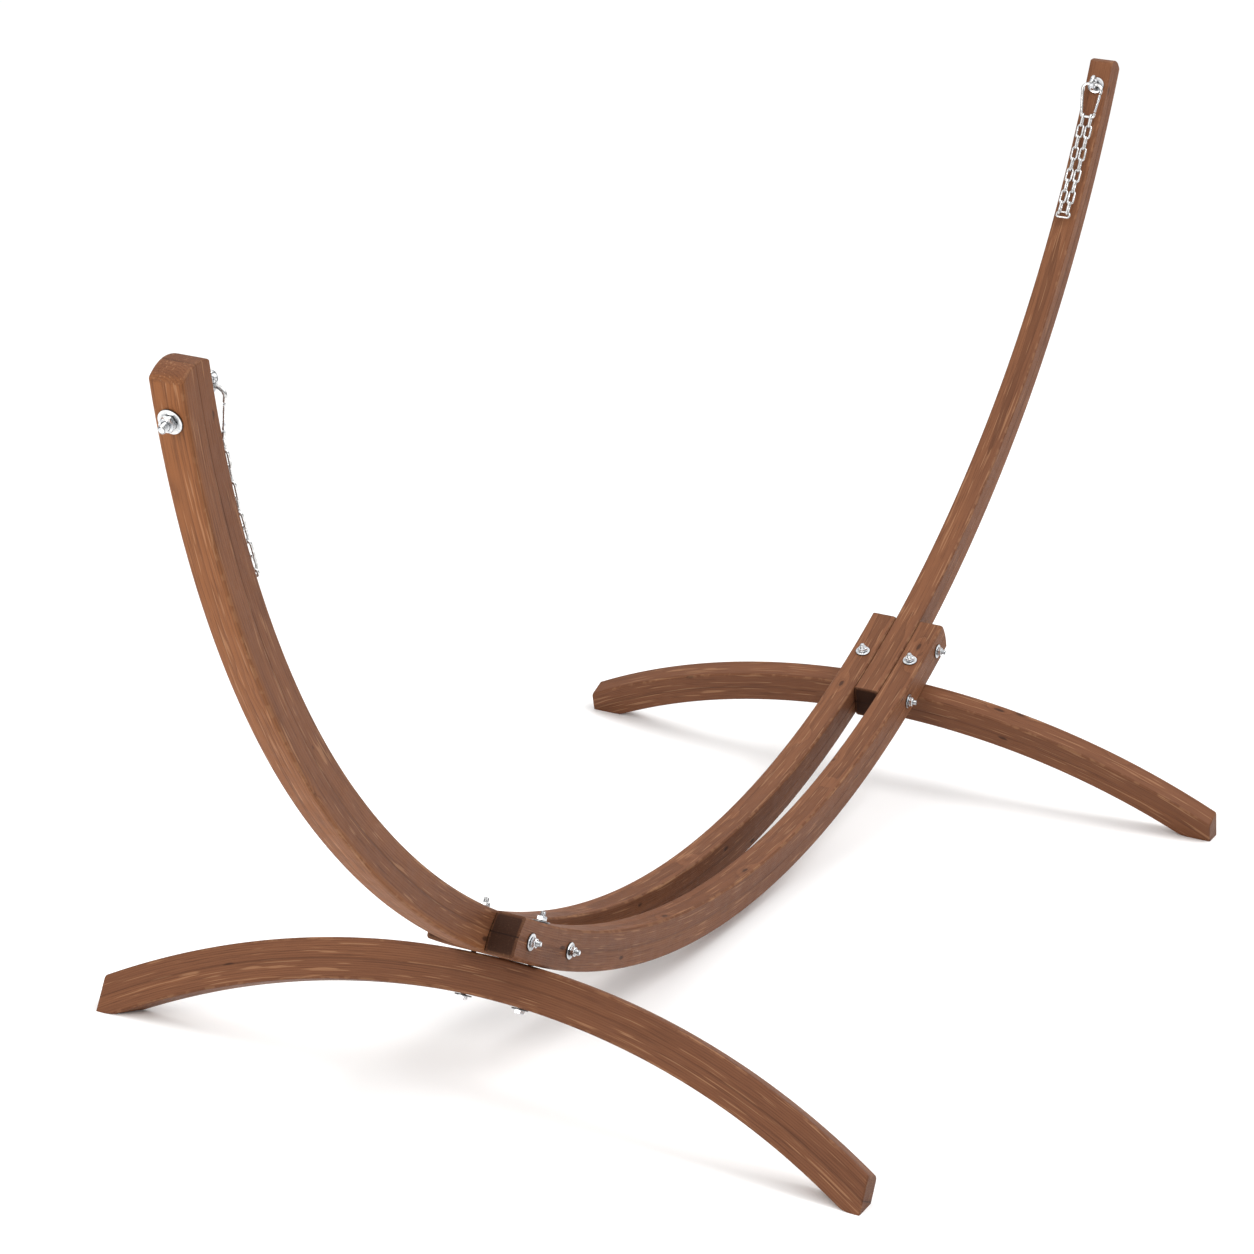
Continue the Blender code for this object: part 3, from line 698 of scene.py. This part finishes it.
# %% Build the middle beams
for n, (label, y) in enumerate((("near", -BEAM_Y), ("far", BEAM_Y))):
    arrays = board_arrays(
        beam_section, beam_rings(190, BEAM_WIDTH, BEAM_DEPTH),
        crowned(-BEAM_END_S, -1, END_CROWN, END_CROWN_AT, BEAM_DEPTH),
        crowned(BEAM_END_S, 1, END_CROWN, END_CROWN_AT, BEAM_DEPTH))
    wood_piece(
        "middle_beam_" + label, arrays, lambda s, a, d, y=y: on_arc(1.0, s, d, a + y),
        lambda s: 0.95 + 0 * s, 11.0 + 4.1 * n, beam_wood)
    print("middle beam", label, arrays[0].shape)

# %% [markdown]
# ## Feet
#
# A foot is an arch in a plane that leans with the joint, so that its top
# meets the beams squarely. Its ends are sawn off parallel to its own upright,
# and then flat where they rest. The floor cut lifts every point that would
# lie below the floor back up along that upright; a smooth maximum,
# (z + sqrt(z^2 + e^2)) / 2, leaves the edge of the cut slightly rounded.

# %% Build the feet
foot_section = whole_outline(FOOT_WIDTH, FOOT_DEPTH)
CUT_SOFTNESS, CUT_SINK = 0.0016, 0.0001


def on_foot(side, y, across, depth):
    """Point of a foot: sunk by its arch, then lifted to the floor cut."""
    tangent, normal = axes_at(side, JOINT_S)
    origin = on_arc(side, JOINT_S, 0.0, 0.0)
    down = BEAM_DEPTH / 2 + GAP + foot_drop(FOOT_DEPTH / 2 - depth, y)
    p = (origin - normal * down[..., None] + tangent * across[..., None]
         + np.array([0.0, 1.0, 0.0]) * y[..., None])
    z = p[..., 2]
    lifted = (z + np.sqrt(z ** 2 + CUT_SOFTNESS ** 2)) / 2 - CUT_SINK
    return p + normal * ((lifted - z) / normal[2])[..., None]


for n, (label, side) in enumerate(SIDES):
    half = FOOT_SPAN / 2
    arrays = board_arrays(
        foot_section, beam_rings(190, FOOT_WIDTH, FOOT_DEPTH),
        lambda d: -half + 0 * d, lambda d: half + 0 * d)
    wood_piece(
        "foot_" + label, arrays,
        lambda s, a, d, side=side: on_foot(side, s, a, d),
        lambda s: 0.20 + 0 * s, 23.0 + 3.3 * n, foot_wood)
    print("foot", label, arrays[0].shape)

# %% [markdown]
# ## Turned and threaded parts
#
# A nut, a washer or a bolt is a profile turned about an axis, except that its
# radius may depend on the angle. A hexagon of half-width h reaches
# h / cos(angle within its sixth). A chamfer is the smaller of that and a cone.
# A thread adds a wave that climbs one pitch for each turn.

# %% Helpers for turned parts
CONE_SLOPE = math.tan(math.radians(60))  # how fast the cone of a chamfer widens
FACE_CIRCLE = 0.95                       # round face that the cone leaves, of the flats
WASHER_RIM = 0.0004                      # rounding of a washer's edges
BORE_CHAMFER, BORE_PLAY = 0.0008, 1.01
THREAD_ROOT, THREAD_STEPS = 0.86, 8      # root radius, of the crest; rings in a pitch
DOME = 0.0012                            # height of the dome that ends a thread
HEX_SIDES, ROD_SIDES = 72, 36            # points round a hexagon, and round a thread


def cross_axes(axis):
    """Two unit vectors square to an axis and to each other."""
    helper = np.array([0.0, 1.0, 0.0]) if abs(axis[1]) < 0.9 else np.array([0.0, 0.0, 1.0])
    u = np.cross(axis, helper)
    u /= np.linalg.norm(u)
    return u, np.cross(axis, u)


def cut_hexagon(angle, half_flats, down):
    """Hexagon, or the cone that cuts it at `down` below a face if that is smaller."""
    corner = half_flats / np.cos((angle + math.pi / 6) % (math.pi / 3) - math.pi / 6)
    return np.minimum(corner[None, :], half_flats * FACE_CIRCLE + down[:, None] * CONE_SLOPE)


def turn(origin, axis, height, radius):
    """Rings from height (rows) and radius (rows x columns) about an axis."""
    u, v = cross_axes(axis)
    angle = full_turn(radius.shape[1])
    flat = np.cos(angle)[:, None] * u + np.sin(angle)[:, None] * v
    height = np.broadcast_to(np.asarray(height).reshape(len(radius), -1), radius.shape)
    return origin + height[..., None] * axis + radius[..., None] * flat[None]


def washer_skin(seat, axis, size):
    """Flat ring with rounded rims: a closed loop of profile points, turned."""
    r0, r1, t, e = size["bore"], size["washer"], size["plate"], WASHER_RIM
    prof = np.array([(r0 + e, 0), (r1 - e, 0), (r1 - 0.3 * e, 0.3 * e), (r1, e),
                     (r1, t - e), (r1 - 0.3 * e, t - 0.3 * e), (r1 - e, t),
                     (r0 + 2 * e, t), (r0 + e, t - 0.3 * e), (r0, t - e), (r0, e)])
    return skin(turn(seat, axis, prof[:, 1], np.repeat(prof[:, :1], 48, axis=1)), closed=True)


def nut_skin(seat, axis, size):
    """Hexagon cut by a cone at both faces, with a chamfered bore."""
    angle, h, c = full_turn(HEX_SIDES), size["nut"], BORE_CHAMFER
    z = np.linspace(0.0, h, 13)
    outer = cut_hexagon(angle, size["flats"] / 2, np.minimum(z, h - z))
    bore = size["bolt"] * BORE_PLAY
    inner = np.array([bore + c, bore, bore, bore + c])[:, None] + 0 * angle
    heights = np.concatenate([z, [h, h - c, c, 0.0]])
    return skin(turn(seat, axis, heights, np.concatenate([outer, inner])), closed=True)


def thread_radius(z, angle, size, top):
    """Screw thread: a soft triangle wave that climbs a pitch each turn."""
    wave = (z[:, None] / size["pitch"] - angle[None, :] / (2 * math.pi)) % 1.0
    ridge = 1 - np.abs(2 * wave - 1)
    ridge = np.clip(ridge * 1.25 - 0.1, 0.0, 1.0)
    r = size["bolt"] * (THREAD_ROOT + (1 - THREAD_ROOT) * ridge)
    dome = np.sqrt(1 - 0.75 * rise(z, top - DOME, top) ** 2)
    return r * dome[:, None]


def threaded_end(seat, axis, size, start, stop):
    """Threaded rod from start to stop along the axis, with a domed end."""
    z = np.linspace(start, stop, int((stop - start) / size["pitch"] * THREAD_STEPS))
    return skin(turn(seat, axis, z, thread_radius(z, full_turn(ROD_SIDES), size, stop)))


def bolt_head_skin(seat, axis, size):
    """Hex head: the outer face is cut by a 30 degree cone and dished a little."""
    angle, half = full_turn(HEX_SIDES), size["flats"] / 2
    z = np.linspace(0.0, HEAD_H, 9)
    top = np.array([half * 0.80, half * 0.55])[:, None] + 0 * angle
    radius = np.concatenate([cut_hexagon(angle, half, HEAD_H - z), top])
    return skin(turn(seat, axis, np.concatenate([z, [HEAD_H, HEAD_H - 0.0002]]), radius))


# %% [markdown]
# ## Where painted shade darkens the plating
#
# Painted shade darkens the zinc on the cut rim of a washer, at the foot of a
# nut, round a washer's bore and in the valleys of a thread. Each of these is a
# band of height or radius about the part's axis, so the mark is worked out
# from every vertex's height and distance.

# %% Marks on turned parts
RIM_FROM, RIM_FULL, RIM_FADE = 0.0006, 0.0002, 0.0005   # inside a washer's rim; below its top
RING_OUT, RING_REACH = 0.0006, 0.0010    # ring round a washer's bore
NUT_FOOT, NUT_RING = 0.0014, 0.0012      # heights and distances where a nut's marks end
VALLEY_DEPTH = 0.16                      # thread depth that counts as fully dark, of the radius


def height_and_radius(obj, seat, axis):
    """Height along the axis and distance from it, for every vertex."""
    flat = np.empty(len(obj.data.vertices) * 3)
    obj.data.vertices.foreach_get("co", flat)
    away = flat.reshape(-1, 3) - seat
    height = away @ axis
    radius = np.linalg.norm(away - height[:, None] * axis, axis=1)
    return height, radius


def near(value, centre, reach):
    """1 at a centre value, falling in a straight line to 0 at its reach."""
    return np.clip(1.0 - np.abs(value - centre) / reach, 0.0, 1.0)


def mark_washer(obj, seat, axis, size):
    """Painted shade on the cut rim, and a ring of painted shade where the nut ends."""
    height, radius = height_and_radius(obj, seat, axis)
    rim = rise(radius, size["washer"] - RIM_FROM, size["washer"] - RIM_FULL)
    rim *= rise(height, size["plate"], size["plate"] - RIM_FADE)
    ring = near(radius, size["bore"] + RING_OUT, RING_REACH)
    store(obj, "painted_metal_shade", np.maximum(rim, ring))


def mark_nut(obj, seat, axis, size):
    """Painted shade at the foot, and a ring of painted shade round the bore."""
    height, radius = height_and_radius(obj, seat, axis)
    foot = rise(height, NUT_FOOT, 0.0)
    bore = rise(radius, size["bolt"] + NUT_RING, size["bolt"])
    store(obj, "painted_metal_shade", np.maximum(foot, bore))


def mark_thread(obj, seat, axis, size):
    """Painted shade in the valleys of the thread: how far a point is below the crest."""
    height, radius = height_and_radius(obj, seat, axis)
    valley = rise(radius, size["bolt"], size["bolt"] * (1.0 - VALLEY_DEPTH))
    valley *= (radius > 0.70 * size["bolt"]) * (radius < size["bolt"] * 1.02)
    store(obj, "painted_metal_shade", 0.9 * valley)


# %% [markdown]
# ## Clamping bolts
#
# Four bolts clamp each joint. Two go straight across through all three beams,
# and two go down through a middle beam and the foot. The head sits on the far
# side or underneath, the nut and a short threaded end on the near side or on
# top.

# %% Build the clamping bolts


def washer_piece(name, seat, axis, size):
    """A washer on a seat; returns the seat that it offers."""
    obj = make_piece(name, [washer_skin(seat + axis * GAP, axis, size)],
                     "stand", [name], washer_zinc)
    mark_washer(obj, seat + axis * GAP, axis, size)
    return seat + axis * (GAP + size["plate"])


def nut_piece(name, seat, axis, size):
    """A nut on a washer; returns where the thread ends."""
    obj = make_piece(name, [nut_skin(seat + axis * GAP, axis, size)],
                     "stand", [name], bolt_zinc, 30)
    mark_nut(obj, seat + axis * GAP, axis, size)
    return seat + axis * (GAP + size["nut"] + size["out"])


def bolt_set(prefix, head_seat, nut_seat, axis):
    """Bolt, two washers and a nut between two seats on the wood."""
    under = washer_piece(prefix + "_washer_head", head_seat, -axis, M8)
    over = washer_piece(prefix + "_washer_nut", nut_seat, axis, M8)
    tip = nut_piece(prefix + "_nut", over, axis, M8)
    end = float(np.linalg.norm(tip - under))
    obj = make_piece(prefix, [bolt_head_skin(under, -axis, M8),
                              threaded_end(under, axis, M8, -0.001, end)],
                     "stand", [prefix], bolt_zinc, 30)
    mark_thread(obj, under, axis, M8)


Y = np.array([0.0, 1.0, 0.0])
for label, side in SIDES:
    for tag, step in (("lower", -1), ("upper", 1)):
        centre = on_arc(side, JOINT_S + step * BOLT_HALF_PITCH, 0.0, 0.0)
        reach = BEAM_Y + BEAM_WIDTH / 2
        bolt_set("side_bolt_" + label + "_" + tag, centre + Y * reach, centre - Y * reach, -Y)
    tangent, normal = axes_at(side, JOINT_S)
    origin = on_arc(side, JOINT_S, 0.0, 0.0)
    for tag, y in (("near", -BEAM_Y), ("far", BEAM_Y)):
        under = BEAM_DEPTH / 2 + GAP + float(foot_drop(FOOT_DEPTH, y)) + FOOT_SEAT_DROP
        bolt_set("foot_bolt_" + label + "_" + tag, origin - normal * under + Y * y,
                 origin + normal * (BEAM_DEPTH / 2) + Y * y, normal)
print("clamping bolts built")

# %% [markdown]
# ## Wire parts
#
# The eye, the snap hook, its gate and every chain link are round wire bent
# along a flat path. A tube is the path plus a circle in the plane square to
# it. The circle's two directions are the path's sideways direction and the
# constant normal of the plane, so the tube never twists.

# %% Helpers for bent wire


def wire_skin(path, radius, normal, sides=20, closed=False):
    """Tube about a flat path; radius may change along it."""
    if closed:
        along = np.roll(path, -1, axis=0) - np.roll(path, 1, axis=0)
    else:
        along = np.gradient(path, axis=0)
    along /= np.linalg.norm(along, axis=1)[:, None]
    sideways = np.cross(along, normal)
    sideways /= np.linalg.norm(sideways, axis=1)[:, None]
    a = full_turn(sides)
    r = np.broadcast_to(np.asarray(radius, dtype=float), (len(path),))[:, None, None]
    rings = (path[:, None, :] + r * (np.cos(a)[None, :, None] * sideways[:, None, :]
                                     + np.sin(a)[None, :, None] * normal[None, None, :]))
    return skin(rings, closed)


def rounded_ends(radius, length, ball):
    """Radii along a rod that close to rounded ends over `ball` radii."""
    d = np.minimum(length, length[-1] - length)
    x = np.clip(d / (ball * radius), 0.0, 1.0)
    return radius * np.sqrt(np.clip(1 - (1 - x) ** 2, 0.0016, 1.0))


def arc_points(centre, radius, a0, a1, count):
    """Points of a circle arc in (across, down) coordinates."""
    a = np.linspace(a0, a1, count)
    return np.stack([centre[0] + radius * np.cos(a), centre[1] + radius * np.sin(a)], axis=1)


def unit(v):
    return v / np.linalg.norm(v)


# %% [markdown]
# ## Eye bolts
#
# Near each tip an eye bolt goes through the arm. Its ring stands off the
# inner face, square to the stand's width, so that a hook can swing along the
# stand. A large washer spreads the pull on each face of the arm. The shank
# flares where it joins the ring, as a forged eye does.

# %% Build the eye bolts
EYE_STANDOFF, EYE_WIRE_R = 0.022, 0.0038
EYE_RING_R = 0.0065 + EYE_WIRE_R
NECK_INSIDE, NECK_NARROWING, FLARE = 0.010, 0.28, (0.003, 0.0095)
for label, side in SIDES:
    tangent, normal = axes_at(side, EYE_S)
    inner = on_arc(side, EYE_S, BEAM_DEPTH / 2, 0.0)
    outer = on_arc(side, EYE_S, -BEAM_DEPTH / 2, 0.0)
    eye = inner + normal * EYE_STANDOFF
    a = np.linspace(0, 2 * math.pi, 64, endpoint=False)[:, None]
    ring = wire_skin(eye + EYE_RING_R * (np.cos(a) * tangent + np.sin(a) * normal),
                     EYE_WIRE_R, Y, 24, closed=True)
    z = np.linspace(-NECK_INSIDE, EYE_STANDOFF - EYE_RING_R + 0.001, 16)
    neck_r = M10["bolt"] * (1.0 - NECK_NARROWING * np.sin(math.pi * rise(z, *FLARE)))
    neck = skin(turn(inner, normal, z, neck_r[:, None] + np.zeros((1, 36))))
    end = BEAM_DEPTH + 2 * GAP + M10["plate"] + M10["nut"] + M10["out"]
    rod = threaded_end(inner, -normal, M10, 0.0, end)
    obj = make_piece("eye_bolt_" + label, [ring, neck, rod], "stand", ["eye_bolt_" + label],
                     bolt_zinc, 30)
    mark_thread(obj, inner, -normal, M10)
    washer_piece("eye_washer_inner_" + label, inner, normal, M10)
    over = washer_piece("eye_washer_outer_" + label, outer, -normal, M10)
    nut_piece("eye_nut_" + label, over, -normal, M10)

# %% [markdown]
# ## Snap hooks
#
# A snap hook is one wire bent to a pear shape and left open on one side. The
# gate closes that side: it turns on a small pin near the wide end, which hangs
# in the eye, and its free end rests on the wire near the narrow end, where the
# chain sits. The pear is a round corner at each side of both ends, joined by
# lines that touch the circles.

# %% Build the snap hooks and gates
HOOK_LENGTH, HOOK_WIRE_R, HOOK_CORNER_R = 0.066, 0.0028, 0.0045
HOOK_TOP_HALF, HOOK_TOP_R = 0.0085, 0.0095
HOOK_SPAN = HOOK_LENGTH - 2 * HOOK_WIRE_R
GATE_WIRE_R, GATE_START, GATE_END = 0.0024, HOOK_LENGTH * 0.14, HOOK_LENGTH * 0.62
STRAND_HALF = 0.0075
SLEEVE, SLEEVE_EDGE, SLEEVE_SINK = (0.012, 0.030), 0.001, 0.0003   # along the gate
PIN_HALF, PIN_R, PIN_BEVEL = 0.0031, 0.0009, 0.0002


def touching_leg():
    """Lean of the hook's legs, and both ends of the +y leg as (across, down)."""
    dy, dv = STRAND_HALF - HOOK_TOP_HALF, HOOK_SPAN - HOOK_CORNER_R - HOOK_TOP_R
    lean = math.atan2(dy, dv) + math.asin((HOOK_CORNER_R - HOOK_TOP_R) / math.hypot(dy, dv))
    n = np.array([math.cos(lean), -math.sin(lean)])
    top = np.array([HOOK_TOP_HALF, HOOK_TOP_R]) + HOOK_TOP_R * n
    low = np.array([STRAND_HALF, HOOK_SPAN - HOOK_CORNER_R]) + HOOK_CORNER_R * n
    return lean, top, low


lean, leg_top, leg_low = touching_leg()
leg_unit = unit(leg_low - leg_top)


def on_gate_leg(d):
    """Point at distance d along the open leg, as (across, down)."""
    p = leg_top + leg_unit * d
    return np.array([-p[0], p[1]])


def spaced(a, b, count):
    """Evenly spaced points of a straight line, without the last one."""
    f = np.linspace(0.0, 1.0, count, endpoint=False)[:, None]
    return a + (b - a) * f


hook_path = np.concatenate([
    spaced(on_gate_leg(GATE_START - GATE_WIRE_R - GAP), on_gate_leg(0.0), 8),
    arc_points((-HOOK_TOP_HALF, HOOK_TOP_R), HOOK_TOP_R, math.pi + lean, 1.5 * math.pi, 14),
    spaced(np.array([-HOOK_TOP_HALF, 0.0]), np.array([HOOK_TOP_HALF, 0.0]), 6)[1:],
    arc_points((HOOK_TOP_HALF, HOOK_TOP_R), HOOK_TOP_R, 1.5 * math.pi,
               2 * math.pi - lean, 14),
    spaced(leg_top, leg_low, 16)[1:],
    arc_points((STRAND_HALF, HOOK_SPAN - HOOK_CORNER_R), HOOK_CORNER_R, -lean,
               math.pi / 2, 12),
    arc_points((-STRAND_HALF, HOOK_SPAN - HOOK_CORNER_R), HOOK_CORNER_R, math.pi / 2,
               math.pi + lean, 12),
    spaced(on_gate_leg(float(np.linalg.norm(leg_low - leg_top))),
           on_gate_leg(GATE_END + GAP), 8)[1:],
    on_gate_leg(GATE_END + GAP)[None]])
steps = np.linalg.norm(np.diff(hook_path, axis=0), axis=1)
hook_length = np.concatenate([[0.0], np.cumsum(steps)])
print("wire in one hook: %.0f mm" % (hook_length[-1] * 1000))

for label, side in SIDES:
    pivot = np.array(joints["hook_swing_" + label]["pos_m"], dtype=float)
    seat = np.array(joints["chain_swing_" + label]["pos_m"], dtype=float)
    down = unit(seat - pivot)
    face = unit(np.cross(down, Y))

    def place(points, pivot=pivot, down=down):
        return pivot + points[:, :1] * Y + points[:, 1:] * down

    radii = rounded_ends(HOOK_WIRE_R, hook_length, 0.35)
    make_piece("snap_hook_" + label, [wire_skin(place(hook_path), radii, face, 20)],
               "snap_hook_" + label, ["snap_hook_" + label], wire_zinc, 45)
    gate = np.concatenate([spaced(on_gate_leg(GATE_START - 0.95 * GATE_WIRE_R),
                                  on_gate_leg(GATE_START), 8),
                           spaced(on_gate_leg(GATE_START), on_gate_leg(GATE_END), 24),
                           on_gate_leg(GATE_END)[None]])
    d = (gate - gate[0]) @ unit(gate[-1] - gate[0])
    r = rounded_ends(GATE_WIRE_R, d, 0.95)
    sleeve = (rise(d, SLEEVE[0], SLEEVE[0] + SLEEVE_EDGE)
              * rise(d, SLEEVE[1], SLEEVE[1] - SLEEVE_EDGE))
    r -= SLEEVE_SINK * sleeve
    make_piece("hook_gate_" + label, [wire_skin(place(gate), r, face, 20)],
               "hook_gate_" + label, ["hook_gate_" + label], bolt_zinc, 45)
    hinge = place(on_gate_leg(GATE_START)[None])[0]
    z = np.array([PIN_HALF, PIN_HALF, PIN_HALF - PIN_BEVEL])
    r = np.array([PIN_R / 3, PIN_R - PIN_BEVEL, PIN_R])
    z, r = np.concatenate([-z, z[::-1]]), np.concatenate([r, r[::-1]])
    make_piece("hook_pin_" + label,
               [skin(turn(hinge, face, z, r[:, None] + np.zeros((1, 20))))],
               "hook_gate_" + label, [], bolt_zinc, 30)

# %% [markdown]
# ## Chains
#
# A link is a stadium: two half circles joined by straights, with a slightly
# thicker spot on one straight where it was welded. Links alternate between
# lying flat and standing on edge. The strands come in two groups above and
# below a fold, and each group follows its own body.

# %% Build the chain links
LINK_WIRE_R, LINK_INNER_W, LINK_INNER_L = 0.0019, 0.0064, 0.0210
LINK_BEND_R = LINK_INNER_W / 2 + LINK_WIRE_R
LINK_HALF = (LINK_INNER_L - LINK_INNER_W) / 2
LINK_PITCH = LINK_INNER_L + 0.33 * LINK_WIRE_R
a = np.linspace(-math.pi / 2, math.pi / 2, 13)
bend = np.stack([LINK_HALF + LINK_BEND_R * np.cos(a), LINK_BEND_R * np.sin(a)], axis=1)
straight = np.linspace(LINK_HALF, -LINK_HALF, 14)[1:-1]
right_run = np.stack([straight, LINK_BEND_R + 0 * straight], axis=1)
link_flat = np.concatenate([bend, right_run, -bend, -right_run])
WELD_HALF, WELD_SWELL = 0.0011, 0.13
weld = np.exp(-((link_flat[:, 0] / WELD_HALF) ** 2)) * (link_flat[:, 1] > 0)
link_radius = LINK_WIRE_R * (1 + WELD_SWELL * weld)


def add_link(name, centre, long_axis, wide_axis, body, nodes):
    """One welded link about its centre."""
    path = centre + link_flat[:, :1] * long_axis + link_flat[:, 1:] * wide_axis
    normal = unit(np.cross(long_axis, wide_axis))
    make_piece(name, [wire_skin(path, link_radius, normal, 12, closed=True)],
               body, nodes, wire_zinc, 60)


link_count = 0
for label, side in SIDES:
    seat = np.array(joints["chain_swing_" + label]["pos_m"], dtype=float)
    fold = np.array(joints["chain_fold_" + label]["pos_m"], dtype=float)
    low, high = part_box("chain_lower_" + label + "_near")
    middle = (np.array(low) + np.array(high)) / 2 * np.array([1.0, 0.0, 1.0])
    above, below = unit(fold - seat), unit(middle - fold)
    groups = (("upper", seat + above * LINK_HALF, above, 5, False),
              ("lower", fold + below * (LINK_INNER_L / 2 + LINK_WIRE_R), below, 4, True))
    for part, first, way, count, flat_first in groups:
        face = unit(np.cross(way, Y))
        for tag, y in (("near", -STRAND_HALF), ("far", STRAND_HALF)):
            node = "chain_" + part + "_" + label + "_" + tag
            for i in range(count):
                wide = Y if (i % 2 == 0) == flat_first else face
                add_link("link_%s_%s_%s_%d" % (part, label, tag, i + 1),
                         first + way * (LINK_PITCH * i) + Y * y, way, wide,
                         "chain_" + part + "_" + label, [node] if i == 0 else [])
                link_count += 1
    low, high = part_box("chain_end_link_" + label)
    middle = (np.array(low) + np.array(high)) / 2 * np.array([1.0, 0.0, 1.0])
    add_link("link_end_" + label, middle, Y, below, "chain_lower_" + label,
             ["chain_end_link_" + label])
    link_count += 1
print("chain links:", link_count)

# %% [markdown]
# ## Floor, light and camera
#
# A pale floor that curves nowhere and ends out of sight keeps the object
# alone. The light is a bright, even sky with one large soft lamp on the left
# that lights the outer face of the near arm, which painted warm light makes the
# warmest surface, and a weaker one from above that puts a glint on the metal.

# %% Floor
reach = 60.0
floor_mesh = bpy.data.meshes.new("floor")
floor_mesh.from_pydata([(-reach, -reach, 0), (reach, -reach, 0), (reach, reach, 0),
                        (-reach, reach, 0)], [], [(0, 1, 2, 3)])
floor = add_object("floor", floor_mesh)
paper, _, paper_bsdf = new_material("pale_floor")
paper_bsdf.inputs["Base Color"].default_value = (0.93, 0.93, 0.93, 1.0)
paper_bsdf.inputs["Roughness"].default_value = 0.9
paper_bsdf.inputs["Specular IOR Level"].default_value = 0.1
floor_mesh.materials.append(paper)

# %% Light
SKY_TOP, SKY_RIM = 1.25, 0.16
world = bpy.data.worlds.new("sky")
bpy.context.scene.world = world
world.use_nodes = True
sky = world.node_tree.nodes["Background"]
sky.inputs["Color"].default_value = (1.0, 1.0, 1.0, 1.0)
direction = add_node(world.node_tree, "ShaderNodeTexCoord").outputs["Generated"]
height = add_node(world.node_tree, "ShaderNodeSeparateXYZ", {0: direction}).outputs[2]
glow = ramp_between(world.node_tree, height, 0.10, 0.60)
strength = math_node(world.node_tree, "MULTIPLY_ADD", glow, SKY_TOP - SKY_RIM, SKY_RIM)
world.node_tree.links.new(strength, sky.inputs["Strength"])
bpy.context.scene.view_settings.view_transform = "Standard"


def soft_lamp(name, place, aim, size, watts, colour):
    """Square area lamp at a place, turned towards a point."""
    data = bpy.data.lights.new(name, "AREA")
    data.size, data.energy, data.color = size, watts, colour
    lamp = add_object(name, data)
    way = np.array(aim) - np.array(place)
    lamp.location = place
    tip, yaw = math.atan2(math.hypot(way[0], way[1]), -way[2]), math.atan2(way[1], way[0])
    lamp.rotation_euler = (tip, 0.0, yaw - math.pi / 2)


soft_lamp("key_lamp", (-4.5, 1.2, 2.2), (0.0, 0.0, 0.5), 2.0, 85.0, (1.0, 0.96, 0.91))
soft_lamp("top_lamp", (0.6, -2.6, 4.4), (0.0, 0.0, 0.4), 2.4, 110.0, (1.0, 1.0, 1.0))

# %% Camera
CAMERA_PLACE = (-4.729, -1.896, 1.969 + BASE_Z)
CAMERA_YAW, CAMERA_PITCH, CAMERA_ROLL = 0.4129, 0.2987, 0.0738
LENS_MM, SENSOR_MM = 100.5, 36.0
camera_data = bpy.data.cameras.new("camera")
camera_data.lens, camera_data.sensor_width = LENS_MM, SENSOR_MM
camera = add_object("camera", camera_data)
look = np.array([math.cos(CAMERA_PITCH) * math.cos(CAMERA_YAW),
                 math.cos(CAMERA_PITCH) * math.sin(CAMERA_YAW), -math.sin(CAMERA_PITCH)])
right = unit(np.cross(look, np.array([0.0, 0.0, 1.0])))
up = np.cross(right, look)
c, s = math.cos(CAMERA_ROLL), math.sin(CAMERA_ROLL)
right, up = c * right + s * up, c * up - s * right
matrix = np.eye(4)
matrix[:3, 0], matrix[:3, 1], matrix[:3, 2], matrix[:3, 3] = right, up, -look, CAMERA_PLACE
camera.matrix_world = mathutils.Matrix(matrix.tolist())
bpy.context.scene.camera = camera
